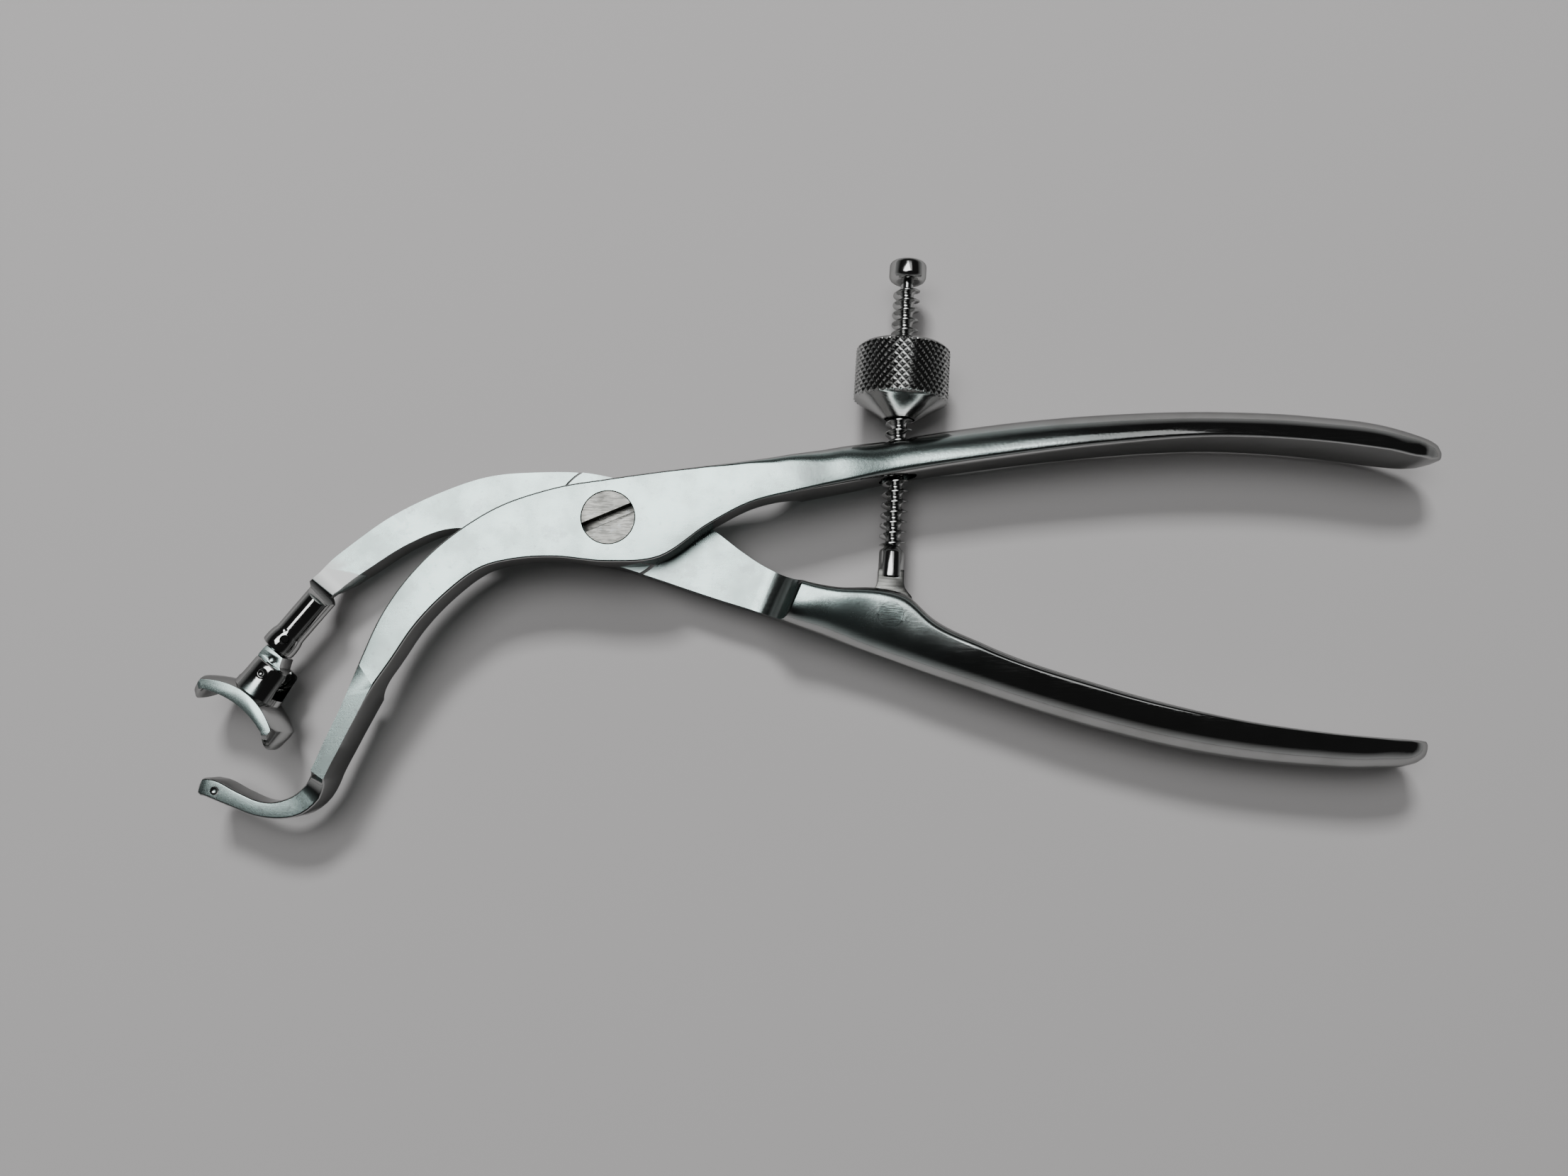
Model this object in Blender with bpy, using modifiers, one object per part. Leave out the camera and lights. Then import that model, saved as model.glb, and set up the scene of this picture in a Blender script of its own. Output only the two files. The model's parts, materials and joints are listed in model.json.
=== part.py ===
"""Plate-holding forceps: two crossed arms, a hook, a swivelling clawed foot and a spindle with a quick nut.

Lengths are written in millimetres and scaled to metres once. The frame: the pivot axis is Z, the
rear face of the joint is z = 0, +X runs along the handles and +Y towards the hook arm's handle.
"""

import math

import bmesh
import bpy
from mathutils import Matrix, Vector

MM = 0.001

# Joint
MID_Z = 5.5                 # centre plane of jaws, handles and spindle
FRONT_Z = 11.0              # front face of the joint
LAP_CLEARANCE = 0.3         # between the two lapped faces
SCREW_HEAD_R = 4.05
SCREW_HEAD_DEPTH = 2.4
SCREW_SHANK_R = 2.5
SCREW_SLOT_WIDTH = 1.4
SCREW_SLOT_DEPTH = 1.1
SCREW_SLOT_ANGLE = math.radians(23.0)
FIT = 0.2                   # clearance round a pin or a head
PIN_FIT = 0.15              # clearance in a pin hole
BEYOND = 1.0                # how far a cutter runs past a face

# Spindle and nut, measured along the spindle from its pin
SPINDLE_PIN = (42.0, -14.4)
SPINDLE_DIRECTION = (0.068, 0.998)
SPINDLE_PIN_R = 1.9
SPINDLE_PIN_HALF_LENGTH = 4.35
EYE_R = 4.3
EYE_THICKNESS = 2.8
EYE_SIDE_FIT = 0.25
EYE_ROUND_FIT = 0.4
TANG_WIDTH = 3.7
TANG_END = 7.2
COLLAR_END = 10.3
COLLAR_R = 1.9
THREAD_END = 53.0
THREAD_CREST_R = 2.1
THREAD_ROOT_R = 1.25
THREAD_PITCH = 1.6
END_CAP_R = 2.9
END_CAP_HEIGHT = 3.1
NUT_START = 30.75
NUT_CONE_END = 33.65
NUT_END = 42.2
NUT_R = 7.35
NUT_NOSE_R = 2.6
NUT_BORE_R = 2.35
NUT_CHAMBER_R = 4.8
COVER_SEAT_R = 5.7
COVER_SEAT_DEPTH = 1.4
COVER_R = 5.5
SEGMENT_R = 3.9
SEGMENT_END_FIT = 0.3
SPRING_R = 4.3
SPRING_WIRE_R = 0.25

# Slots that the spindle goes through
HANDLE_SLOT_CENTRE = (43.75, 10.0)
HANDLE_SLOT_LENGTH = 5.8
HANDLE_SLOT_WIDTH = 4.9

# Swivel, measured along its axis from the end of the stem
SWIVEL_ORIGIN = (-50.14, -18.74)
SWIVEL_DIRECTION = (-0.63, -0.777)
STEM_R = 2.25
STEM_RING_R = 2.5
STEM_RING_LENGTH = 2.8
STEM_RING_END = 0.5
POST_R = 1.45
POST_DEPTH = 3.4
POST_TOP = 1.2
SOCKET_END_FIT = 0.3
RETAINER_COUNT = 3
RETAINER_R = 0.55
RETAINER_START = math.radians(-109.0)
RETAINER_HEIGHT = -1.65
RETAINER_GROOVE_TOP = -0.9
RETAINER_GROOVE_LENGTH = 1.5
POST_NECK_R = 0.95

# Foot, measured from its pin
FOOT_PIN_ALONG = 4.0        # from the end of the stem
FOOT_PIN_ASIDE = 2.0        # from the stem's axis, away from the foot arm
FOOT_PIN_R = 0.8
FOOT_PIN_HALF_LENGTH = 3.4
FOOT_DIRECTION = (-0.58, -0.815)
FOOT_HALF_DEPTH = 4.3
FOOT_HALF_SPAN = 6.6
TONGUE_HALF_THICKNESS = 2.0
TONGUE_END_R = 2.15
FORK_START = -1.6
FORK_START_R = 3.5
FORK_END = 4.6
FORK_END_R = 3.85
TONGUE_SIDES = (            # height, then both sides from the stem's axis
    (0.8, -2.2, 0.8),
    (2.4, -3.0, 0.8),
    (4.0, -4.1, 0.2),
)

TURN_STEPS = 32
SPRING_STEPS = 28
WIRE_STEPS = 8
SECTION_SPACING = 3.0       # along an arm
CORNER_STEPS = 3            # spans in one rounded corner of a section


# ---------------------------------------------------------------- scene and materials

for old in list(bpy.data.objects):
    bpy.data.objects.remove(old, do_unlink=True)

PARTS = bpy.data.collections.new("plate_forceps")
CUTTERS = bpy.data.collections.new("cutters")
for group in (PARTS, CUTTERS):
    bpy.context.scene.collection.children.link(group)


def steel(name, value, roughness):
    """A bare steel material."""
    material = bpy.data.materials.new(name)
    material.use_nodes = True
    shader = material.node_tree.nodes["Principled BSDF"]
    shader.inputs["Base Color"].default_value = (value, value, value * 0.99, 1.0)
    shader.inputs["Metallic"].default_value = 1.0
    shader.inputs["Roughness"].default_value = roughness
    return material


# ---------------------------------------------------------------- object helpers

def finish(obj, material, collection=None, parent=None):
    """Puts an object in its collection, under its parent, with its material."""
    (collection or PARTS).objects.link(obj)
    if material:
        obj.data.materials.append(material)
    if parent:
        obj.parent = parent
    if collection is CUTTERS:
        obj.hide_render = True
        obj.display_type = "WIRE"
    return obj


def object_from(bm, name):
    """A new object from a bmesh, with its faces turned outwards and its round sides smooth."""
    bmesh.ops.recalc_face_normals(bm, faces=bm.faces)
    mesh = bpy.data.meshes.new(name)
    bm.to_mesh(mesh)
    bm.free()
    mesh.shade_smooth()
    mesh.set_sharp_from_angle(angle=math.radians(35.0))
    return bpy.data.objects.new(name, mesh)


def lofted(name, rings):
    """A closed solid through rings of points, all with the same count, capped at both ends."""
    bm = bmesh.new()
    rows = [[bm.verts.new(Vector(point) * MM) for point in ring] for ring in rings]
    count = len(rows[0])
    for first, second in zip(rows, rows[1:]):
        for i in range(count):
            j = (i + 1) % count
            bm.faces.new((first[i], first[j], second[j], second[i]))
    bm.faces.new(rows[0])
    bm.faces.new(rows[-1])
    return object_from(bm, name)


def turned(name, profile, steps=TURN_STEPS):
    """A solid turned round its own Z from (radius, height) points that run from top to bottom."""
    bm = bmesh.new()
    points = [bm.verts.new((radius * MM, 0.0, height * MM)) for radius, height in profile]
    for upper, lower in zip(points, points[1:]):
        bm.edges.new((upper, lower))
    mesh = bpy.data.meshes.new(name)
    bm.to_mesh(mesh)
    bm.free()
    obj = bpy.data.objects.new(name, mesh)
    screw = obj.modifiers.new("turn", "SCREW")
    screw.axis = "Z"
    screw.steps = steps
    screw.render_steps = steps
    screw.use_merge_vertices = True
    screw.merge_threshold = 0.00001
    screw.use_smooth_shade = True
    return obj


def cylinder(name, radius, low, high, steps=TURN_STEPS, top_radius=None):
    """A cylinder or cone along its own Z."""
    bm = bmesh.new()
    bmesh.ops.create_cone(
        bm, cap_ends=True, segments=steps, radius1=radius * MM,
        radius2=(radius if top_radius is None else top_radius) * MM, depth=(high - low) * MM,
        matrix=Matrix.Translation((0.0, 0.0, 0.5 * (low + high) * MM)),
    )
    return object_from(bm, name)


def box(name, low, high):
    """A box between two corners."""
    bm = bmesh.new()
    size = [(b - a) * MM for a, b in zip(low, high)]
    middle = [0.5 * (a + b) * MM for a, b in zip(low, high)]
    bmesh.ops.create_cube(bm, size=1.0, matrix=Matrix.Translation(middle) @ Matrix.Diagonal((*size, 1.0)))
    return object_from(bm, name)


def placed(obj, location=(0.0, 0.0, 0.0), rotation=(0.0, 0.0, 0.0)):
    """Sets an object's location, in millimetres, and its rotation."""
    obj.location = Vector(location) * MM
    obj.rotation_euler = rotation
    return obj


def boolean(obj, other, operation="DIFFERENCE"):
    """Cuts or joins with another object."""
    modifier = obj.modifiers.new(other.name, "BOOLEAN")
    modifier.operation = operation
    modifier.solver = "EXACT"
    modifier.object = other


def axis_empty(name, origin, direction):
    """An empty whose Z lies along a direction in the joint's plane, and whose Y points backwards."""
    dx, dy = Vector(direction).normalized()
    empty = bpy.data.objects.new(name, None)
    PARTS.objects.link(empty)
    turn = Matrix(((dy, 0.0, dx), (-dx, 0.0, dy), (0.0, -1.0, 0.0))).to_4x4()
    spot = Matrix.Translation(Vector((*origin, MID_Z)) * MM)
    empty.matrix_world = spot @ turn
    return empty


# ---------------------------------------------------------------- arms

def smooth_track(stations, spacing):
    """Stations of (left, right, low, high, left rounding, right rounding), refined along the arm.

    The edges follow a cubic through their points; levels and roundings ease from one to the next.
    """
    edges = [Vector((*row[0], *row[1])) for row in stations]
    rest = [(row[2], row[3], *row[4], *row[5]) for row in stations]
    middles = [Vector((0.5 * (e[0] + e[2]), 0.5 * (e[1] + e[3]))) for e in edges]
    spans = [(b - a).length for a, b in zip(middles, middles[1:])]
    slopes = [(edges[1] - edges[0]) / spans[0]]
    for i in range(1, len(spans)):
        before = (edges[i] - edges[i - 1]) / spans[i - 1]
        after = (edges[i + 1] - edges[i]) / spans[i]
        total = spans[i - 1] + spans[i]
        slopes.append(before * (spans[i] / total) + after * (spans[i - 1] / total))
    slopes.append((edges[-1] - edges[-2]) / spans[-1])
    track = []
    for i, span in enumerate(spans):
        steps = max(1, round(span / spacing))
        for k in range(steps):
            t = k / steps
            ease = t * t * (3.0 - 2.0 * t)
            edge = (
                edges[i] * (2 * t ** 3 - 3 * t ** 2 + 1) + slopes[i] * span * (t ** 3 - 2 * t ** 2 + t)
                + edges[i + 1] * (3 * t ** 2 - 2 * t ** 3) + slopes[i + 1] * span * (t ** 3 - t ** 2)
            )
            track.append((edge, [a + (b - a) * ease for a, b in zip(rest[i], rest[i + 1])]))
    track.append((edges[-1], list(rest[-1])))
    return track


def section(edge, numbers):
    """The ring of points round one section: a box with an elliptical round on each corner."""
    left, right = Vector(edge[:2]), Vector(edge[2:])
    low, high, left_across, left_up, right_across, right_up = numbers
    width = (right - left).length
    across = (right - left) / width
    corners = (
        (left_across, high - left_up, left_across, left_up, 180.0),
        (width - right_across, high - right_up, right_across, right_up, 90.0),
        (width - right_across, low + right_up, right_across, right_up, 0.0),
        (left_across, low + left_up, left_across, left_up, -90.0),
    )
    ring = []
    for n_centre, z_centre, n_round, z_round, start in corners:
        for k in range(CORNER_STEPS + 1):
            angle = math.radians(start - 90.0 * k / CORNER_STEPS)
            spot = left + across * (n_centre + n_round * math.cos(angle))
            ring.append((spot.x, spot.y, z_centre + z_round * math.sin(angle)))
    return ring


def arm(name, stations):
    """An arm lofted through its stations."""
    return lofted(name, [section(*row) for row in smooth_track(stations, SECTION_SPACING)])


EDGE = (0.3, 0.3)           # a barely broken edge
LAP_LOW = MID_Z + LAP_CLEARANCE / 2
LAP_HIGH = MID_Z - LAP_CLEARANCE / 2

# From the hook's point to the end of the handle. The left edge is the one towards the foot arm's
# jaw, and then the outside of the handle.
HOOK_ARM = (
    ((-59.6, -39.1), (-60.0, -40.2), 3.4, 7.6, (0.4, 1.2), (0.4, 1.2)),
    ((-58.6, -38.7), (-59.3, -40.8), 3.0, 8.0, EDGE, EDGE),
    ((-54.2, -40.5), (-55.0, -42.6), 3.0, 8.0, EDGE, EDGE),
    ((-51.1, -41.8), (-51.5, -44.0), 3.0, 8.0, EDGE, EDGE),
    ((-48.6, -42.0), (-47.7, -44.4), 3.0, 8.0, EDGE, EDGE),
    ((-46.4, -41.2), (-44.6, -43.6), 2.8, 8.0, EDGE, EDGE),
    ((-44.8, -39.7), (-42.3, -41.6), 2.6, 8.2, EDGE, EDGE),
    ((-42.5, -37.0), (-40.7, -38.4), 2.5, FRONT_Z, EDGE, EDGE),
    ((-40.9, -33.3), (-38.8, -34.5), 2.5, FRONT_Z, EDGE, EDGE),
    ((-38.7, -28.4), (-36.4, -29.7), 2.5, FRONT_Z, EDGE, EDGE),
    ((-37.0, -23.9), (-34.0, -25.2), 2.5, FRONT_Z, EDGE, EDGE),
    ((-35.7, -20.4), (-31.6, -21.6), LAP_LOW, FRONT_Z, EDGE, EDGE),
    ((-33.0, -14.2), (-28.1, -16.2), LAP_LOW, FRONT_Z, EDGE, EDGE),
    ((-28.9, -8.2), (-23.8, -11.5), LAP_LOW, FRONT_Z, EDGE, EDGE),
    ((-23.0, -2.5), (-18.6, -7.6), LAP_LOW, FRONT_Z, EDGE, EDGE),
    ((-16.8, 1.5), (-14.1, -6.4), LAP_LOW, FRONT_Z, EDGE, EDGE),
    ((-8.6, 4.4), (-8.0, -6.0), LAP_LOW, FRONT_Z, EDGE, EDGE),
    ((0.0, 5.9), (0.2, -6.7), LAP_LOW, FRONT_Z, EDGE, EDGE),
    ((7.0, 6.9), (7.7, -6.0), LAP_LOW, FRONT_Z, EDGE, EDGE),
    ((14.0, 7.8), (15.0, -1.1), LAP_LOW, FRONT_Z, (0.4, 0.4), EDGE),
    ((19.5, 8.5), (21.0, 2.1), LAP_LOW, FRONT_Z, (0.6, 0.6), EDGE),
    ((26.0, 9.6), (27.6, 3.8), 1.6, FRONT_Z, (1.4, 1.2), (0.5, 0.5)),
    ((34.0, 11.2), (35.2, 5.3), 1.2, 10.6, (2.8, 2.6), (1.0, 1.2)),
    ((42.5, 12.8), (43.8, 7.0), 1.2, 9.9, (4.2, 4.0), (1.3, 2.2)),
    ((56.0, 15.0), (56.8, 9.0), 1.0, 10.0, (4.6, 4.4), (1.0, 2.2)),
    ((74.0, 16.8), (74.2, 11.2), 0.5, 10.5, (4.4, 4.8), (0.9, 1.6)),
    ((92.0, 17.3), (92.0, 12.4), 0.0, 11.0, (4.2, 5.4), (0.7, 0.8)),
    ((107.0, 16.6), (106.5, 11.7), 0.0, 11.0, (4.2, 5.4), (0.7, 0.7)),
    ((118.0, 15.1), (116.8, 10.4), 0.1, 10.9, (4.0, 5.3), (0.7, 0.7)),
    ((123.7, 13.4), (122.4, 9.5), 1.1, 9.9, (3.1, 4.2), (0.7, 0.7)),
    ((126.9, 11.8), (126.3, 9.4), 3.1, 7.9, (1.8, 2.2), (0.5, 0.7)),
)

# From the stem behind the foot to the end of the handle. The left edge is the outer one of the jaw,
# and then the inside of the handle.
STEM_ROUND = (STEM_R, STEM_R)
STEM_LEVELS = (MID_Z - STEM_R, MID_Z + STEM_R)


def stem_edges(along):
    """The stem's left and right edge at a distance along the swivel axis from the stem's end."""
    centre = Vector(SWIVEL_ORIGIN) + Vector(SWIVEL_DIRECTION) * along
    aside = Vector((-SWIVEL_DIRECTION[1], SWIVEL_DIRECTION[0])) * STEM_R
    return tuple(centre - aside), tuple(centre + aside)


FOOT_ARM = (
    (*stem_edges(-2.0), *STEM_LEVELS, STEM_ROUND, STEM_ROUND),
    (*stem_edges(-6.0), *STEM_LEVELS, STEM_ROUND, STEM_ROUND),
    (*stem_edges(-10.4), *STEM_LEVELS, STEM_ROUND, STEM_ROUND),
    ((-45.4, -8.4), (-42.2, -10.9), 2.6, 7.7, (1.5, 1.8), (1.5, 1.8)),
    ((-43.9, -6.4), (-40.6, -9.2), 0.8, LAP_HIGH, (0.8, 0.8), (0.6, 0.6)),
    ((-40.2, -3.2), (-37.0, -6.6), 0.0, LAP_HIGH, (0.5, 0.4), EDGE),
    ((-34.2, 1.2), (-31.4, -3.0), 0.0, LAP_HIGH, (0.5, 0.4), EDGE),
    ((-27.1, 4.8), (-25.4, -0.7), 0.0, LAP_HIGH, (0.5, 0.4), EDGE),
    ((-20.0, 7.3), (-18.6, -1.0), 0.0, LAP_HIGH, (0.5, 0.4), EDGE),
    ((-12.0, 8.1), (-10.4, -3.6), 0.0, LAP_HIGH, (0.4, 0.4), EDGE),
    ((-4.0, 7.9), (-4.0, -5.6), 0.0, LAP_HIGH, EDGE, EDGE),
    ((3.6, 6.0), (1.6, -6.8), 0.0, LAP_HIGH, EDGE, EDGE),
    ((9.6, 2.9), (6.6, -8.4), 0.0, LAP_HIGH, EDGE, EDGE),
    ((15.2, -0.8), (11.6, -10.1), 0.0, LAP_HIGH, EDGE, EDGE),
    ((19.6, -4.2), (16.4, -11.7), 0.0, LAP_HIGH, EDGE, EDGE),
    ((23.4, -6.7), (21.8, -13.4), 0.0, LAP_HIGH, EDGE, (0.5, 0.5)),
    ((28.2, -8.9), (26.4, -15.2), 0.4, 9.8, (1.2, 1.2), (2.6, 2.6)),
    ((34.2, -10.2), (32.4, -17.4), 0.8, 10.2, (1.8, 2.0), (4.6, 4.2)),
    ((40.4, -10.3), (38.8, -19.8), 1.1, 9.9, (2.4, 2.6), (5.6, 4.2)),
    ((44.3, -11.2), (41.9, -20.9), 1.1, 9.9, (2.6, 2.8), (5.6, 4.2)),
    ((48.4, -14.8), (45.7, -22.3), 1.1, 9.9, (2.0, 2.8), (4.6, 4.2)),
    ((56.0, -18.7), (53.4, -25.0), 1.0, 10.0, (1.6, 2.8), (4.6, 4.3)),
    ((74.0, -25.1), (72.3, -31.1), 0.5, 10.5, (1.2, 1.8), (4.6, 4.8)),
    ((92.3, -29.8), (91.2, -35.4), 0.0, 11.0, (0.7, 0.8), (4.6, 5.4)),
    ((104.0, -31.6), (103.6, -36.8), 0.0, 11.0, (0.7, 0.7), (4.3, 5.4)),
    ((113.0, -32.5), (112.9, -37.2), 0.1, 10.9, (0.7, 0.7), (4.0, 5.3)),
    ((118.8, -32.9), (118.9, -36.7), 1.1, 9.9, (0.7, 0.7), (3.1, 4.2)),
    ((121.6, -33.2), (121.5, -35.4), 3.1, 7.9, (0.5, 0.7), (1.6, 2.2)),
)


def cutter(obj, parent=None):
    """Marks an object as a cutter."""
    return finish(obj, None, CUTTERS, parent)


def make_hook_arm(material):
    """The front arm, with its screw seat and the slot for the spindle."""
    body = finish(arm("hook_arm", HOOK_ARM), material)
    seat = cutter(turned("screw_seat", (
        (0.0, FRONT_Z + BEYOND),
        (SCREW_HEAD_R + FIT, FRONT_Z + BEYOND),
        (SCREW_HEAD_R + FIT, FRONT_Z - SCREW_HEAD_DEPTH - FIT),
        (SCREW_SHANK_R + FIT, FRONT_Z - SCREW_HEAD_DEPTH - FIT),
        (SCREW_SHANK_R + FIT, LAP_LOW - BEYOND),
        (0.0, LAP_LOW - BEYOND),
    )))
    boolean(body, seat)
    half_length, half_width = HANDLE_SLOT_LENGTH / 2, HANDLE_SLOT_WIDTH / 2
    slot = box("spindle_slot", (-half_length, -8.0, -half_width), (half_length, 8.0, half_width))
    bevel = slot.modifiers.new("round ends", "BEVEL")
    bevel.width = 0.45 * HANDLE_SLOT_WIDTH * MM
    bevel.segments = 4
    bevel.limit_method = "WEIGHT"
    weights = slot.data.attributes.new("bevel_weight_edge", "FLOAT", "EDGE")
    for edge in slot.data.edges:
        a, b = (slot.data.vertices[i].co for i in edge.vertices)
        weights.data[edge.index].value = 1.0 if abs(a.y - b.y) > 0.001 else 0.0
    cutter(placed(slot, (*HANDLE_SLOT_CENTRE, MID_Z)))
    boolean(body, slot)


def make_foot_arm(material, swivel_axis, spindle_axis):
    """The rear arm, with its screw hole, the spindle's slot and pin hole, and the swivel's socket."""
    body = finish(arm("foot_arm", FOOT_ARM), material)
    ring_start = STEM_RING_END - STEM_RING_LENGTH
    ring = cutter(cylinder("stem_ring", STEM_RING_R, ring_start, STEM_RING_END), swivel_axis)
    boolean(body, ring, "UNION")
    socket_end = -POST_DEPTH - SOCKET_END_FIT
    socket = cutter(cylinder("swivel_socket", POST_R + FIT, socket_end, BEYOND), swivel_axis)
    boolean(body, socket)
    for i in range(RETAINER_COUNT):
        hole = cylinder(f"retainer_hole_{i + 1}", RETAINER_R + PIN_FIT, 0.5, 4.0, 16)
        cutter(placed(hole, (0.0, 0.0, RETAINER_HEIGHT), retainer_turn(i)), swivel_axis)
        boolean(body, hole)
    boolean(body, cutter(cylinder("screw_hole", SCREW_SHANK_R + FIT, -BEYOND, LAP_HIGH + BEYOND)))
    half = EYE_THICKNESS / 2 + EYE_SIDE_FIT
    pocket_r = EYE_R + EYE_ROUND_FIT
    pocket = cylinder("eye_pocket", pocket_r, -half, half)
    cutter(placed(pocket, rotation=(math.radians(90.0), 0.0, 0.0)), spindle_axis)
    boolean(body, pocket)
    mouth = cutter(box("eye_mouth", (-pocket_r, -half, 0.0), (pocket_r, half, 9.0)), spindle_axis)
    boolean(body, mouth)
    hole = cylinder("spindle_pin_hole", SPINDLE_PIN_R + PIN_FIT, -7.0, 7.0)
    cutter(placed(hole, rotation=(math.radians(90.0), 0.0, 0.0)), spindle_axis)
    boolean(body, hole)


# ---------------------------------------------------------------- pivot, spindle and nut

def make_pivot_screw(material):
    """Slotted screw with a flush head, whose end is flush with the rear face."""
    screw = turned("pivot_screw", (
        (0.0, FRONT_Z),
        (SCREW_HEAD_R, FRONT_Z),
        (SCREW_HEAD_R, FRONT_Z - SCREW_HEAD_DEPTH),
        (SCREW_SHANK_R, FRONT_Z - SCREW_HEAD_DEPTH),
        (SCREW_SHANK_R, 0.0),
        (0.0, 0.0),
    ))
    finish(screw, material)
    half = SCREW_SLOT_WIDTH / 2
    slot = box("screw_slot", (-6.0, -half, FRONT_Z - SCREW_SLOT_DEPTH), (6.0, half, FRONT_Z + BEYOND))
    cutter(placed(slot, rotation=(0.0, 0.0, SCREW_SLOT_ANGLE)))
    boolean(screw, slot)


def thread_profile():
    """The spindle's shaft from its end down to the tang, with a crest for each turn of thread."""
    turns = int((THREAD_END - 0.6 - COLLAR_END) / THREAD_PITCH)
    profile = [(0.0, THREAD_END + 1.0), (THREAD_ROOT_R, THREAD_END + 1.0)]
    for i in range(turns, 0, -1):
        height = COLLAR_END + i * THREAD_PITCH
        profile += [(THREAD_ROOT_R, height + 0.5 * THREAD_PITCH), (THREAD_CREST_R, height)]
    return profile + [(COLLAR_R, COLLAR_END), (COLLAR_R, TANG_END - 0.8), (0.0, TANG_END - 0.8)]


def make_spindle(material, axis):
    """Threaded rod with a flat tang and an eye for its pin."""
    rod = finish(turned("spindle", thread_profile(), 16), material, parent=axis)
    half_width, half_depth = TANG_WIDTH / 2, EYE_THICKNESS / 2
    tang = cutter(box("tang", (-half_width, -half_depth, 0.0), (half_width, half_depth, TANG_END)), axis)
    boolean(rod, tang, "UNION")
    turn = (math.radians(90.0), 0.0, 0.0)
    eye = cutter(placed(cylinder("eye", EYE_R, -half_depth, half_depth), rotation=turn), axis)
    boolean(rod, eye, "UNION")
    hole = cylinder("eye_hole", SPINDLE_PIN_R + PIN_FIT, -3.0, 3.0)
    cutter(placed(hole, rotation=turn), axis)
    boolean(rod, hole)
    pin = cylinder("spindle_pin", SPINDLE_PIN_R, -SPINDLE_PIN_HALF_LENGTH, SPINDLE_PIN_HALF_LENGTH)
    finish(placed(pin, rotation=turn), material, parent=axis)


def make_end_cap(material, axis):
    """Cap on the spindle's end, which keeps the nut on."""
    top = THREAD_END + END_CAP_HEIGHT
    bore = THREAD_ROOT_R + PIN_FIT
    cap = turned("spindle_end_cap", (
        (0.0, top),
        (END_CAP_R - 0.9, top),
        (END_CAP_R - 0.2, top - 0.4),
        (END_CAP_R, top - 1.0),
        (END_CAP_R, THREAD_END + 0.5),
        (END_CAP_R - 0.5, THREAD_END),
        (bore, THREAD_END),
        (bore, THREAD_END + 1.3),
        (0.0, THREAD_END + 1.3),
    ))
    finish(cap, material, parent=axis)


def make_nut(material, dark, axis):
    """Knurled sleeve with a conical nose, its cover, the two threaded segments and their ring spring."""
    seat = NUT_END - COVER_SEAT_DEPTH
    sleeve = turned("nut_sleeve", (
        (COVER_SEAT_R, NUT_END),
        (NUT_R - 0.8, NUT_END),
        (NUT_R, NUT_END - 0.7),
        (NUT_R, NUT_CONE_END),
        (NUT_R - 0.6, NUT_CONE_END - 0.3),
        (NUT_NOSE_R, NUT_START),
        (NUT_BORE_R, NUT_START),
        (NUT_BORE_R, NUT_CONE_END),
        (NUT_CHAMBER_R, NUT_CONE_END),
        (NUT_CHAMBER_R, seat),
        (COVER_SEAT_R, seat),
        (COVER_SEAT_R, NUT_END),
    ))
    finish(sleeve, material, parent=axis)
    cover = turned("nut_cover", (
        (NUT_BORE_R, NUT_END - 0.1),
        (COVER_R, NUT_END - 0.1),
        (COVER_R, seat + 0.2),
        (NUT_BORE_R, seat + 0.2),
        (NUT_BORE_R, NUT_END - 0.1),
    ))
    finish(cover, material, parent=axis)
    low, high = NUT_CONE_END + SEGMENT_END_FIT, seat - SEGMENT_END_FIT
    for side, name in ((1, "lock_segment_a"), (-1, "lock_segment_b")):
        segment = turned(name, (
            (NUT_BORE_R, high), (SEGMENT_R, high), (SEGMENT_R, low), (NUT_BORE_R, low), (NUT_BORE_R, high),
        ))
        finish(segment, dark, parent=axis)
        away = box(f"{name}_gap", (-6.0, -0.3, low - BEYOND), (6.0, 6.0, high + BEYOND))
        cutter(placed(away, rotation=(0.0, 0.0, math.pi if side > 0 else 0.0)), axis)
        boolean(segment, away)
    finish(torus("lock_spring", SPRING_R, SPRING_WIRE_R, 0.5 * (low + high)), dark, parent=axis)


def torus(name, radius, wire, height):
    """A closed wire ring round Z."""
    bm = bmesh.new()
    rows = []
    for i in range(SPRING_STEPS):
        angle = 2.0 * math.pi * i / SPRING_STEPS
        row = []
        for k in range(WIRE_STEPS):
            turn = 2.0 * math.pi * k / WIRE_STEPS
            reach = radius + wire * math.cos(turn)
            point = Vector((reach * math.cos(angle), reach * math.sin(angle), height + wire * math.sin(turn)))
            row.append(bm.verts.new(point * MM))
        rows.append(row)
    for first, second in zip(rows, rows[1:] + rows[:1]):
        for i in range(WIRE_STEPS):
            j = (i + 1) % WIRE_STEPS
            bm.faces.new((first[i], first[j], second[j], second[i]))
    return object_from(bm, name)


# ---------------------------------------------------------------- swivelling foot

def retainer_turn(i):
    """Turns a part that lies along Z to point outwards, at the place of retaining pin i."""
    angle = RETAINER_START + 2.0 * math.pi * i / RETAINER_COUNT
    return (Matrix.Rotation(angle, 4, "Z") @ Matrix.Rotation(math.radians(90.0), 4, "Y")).to_euler()


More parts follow.
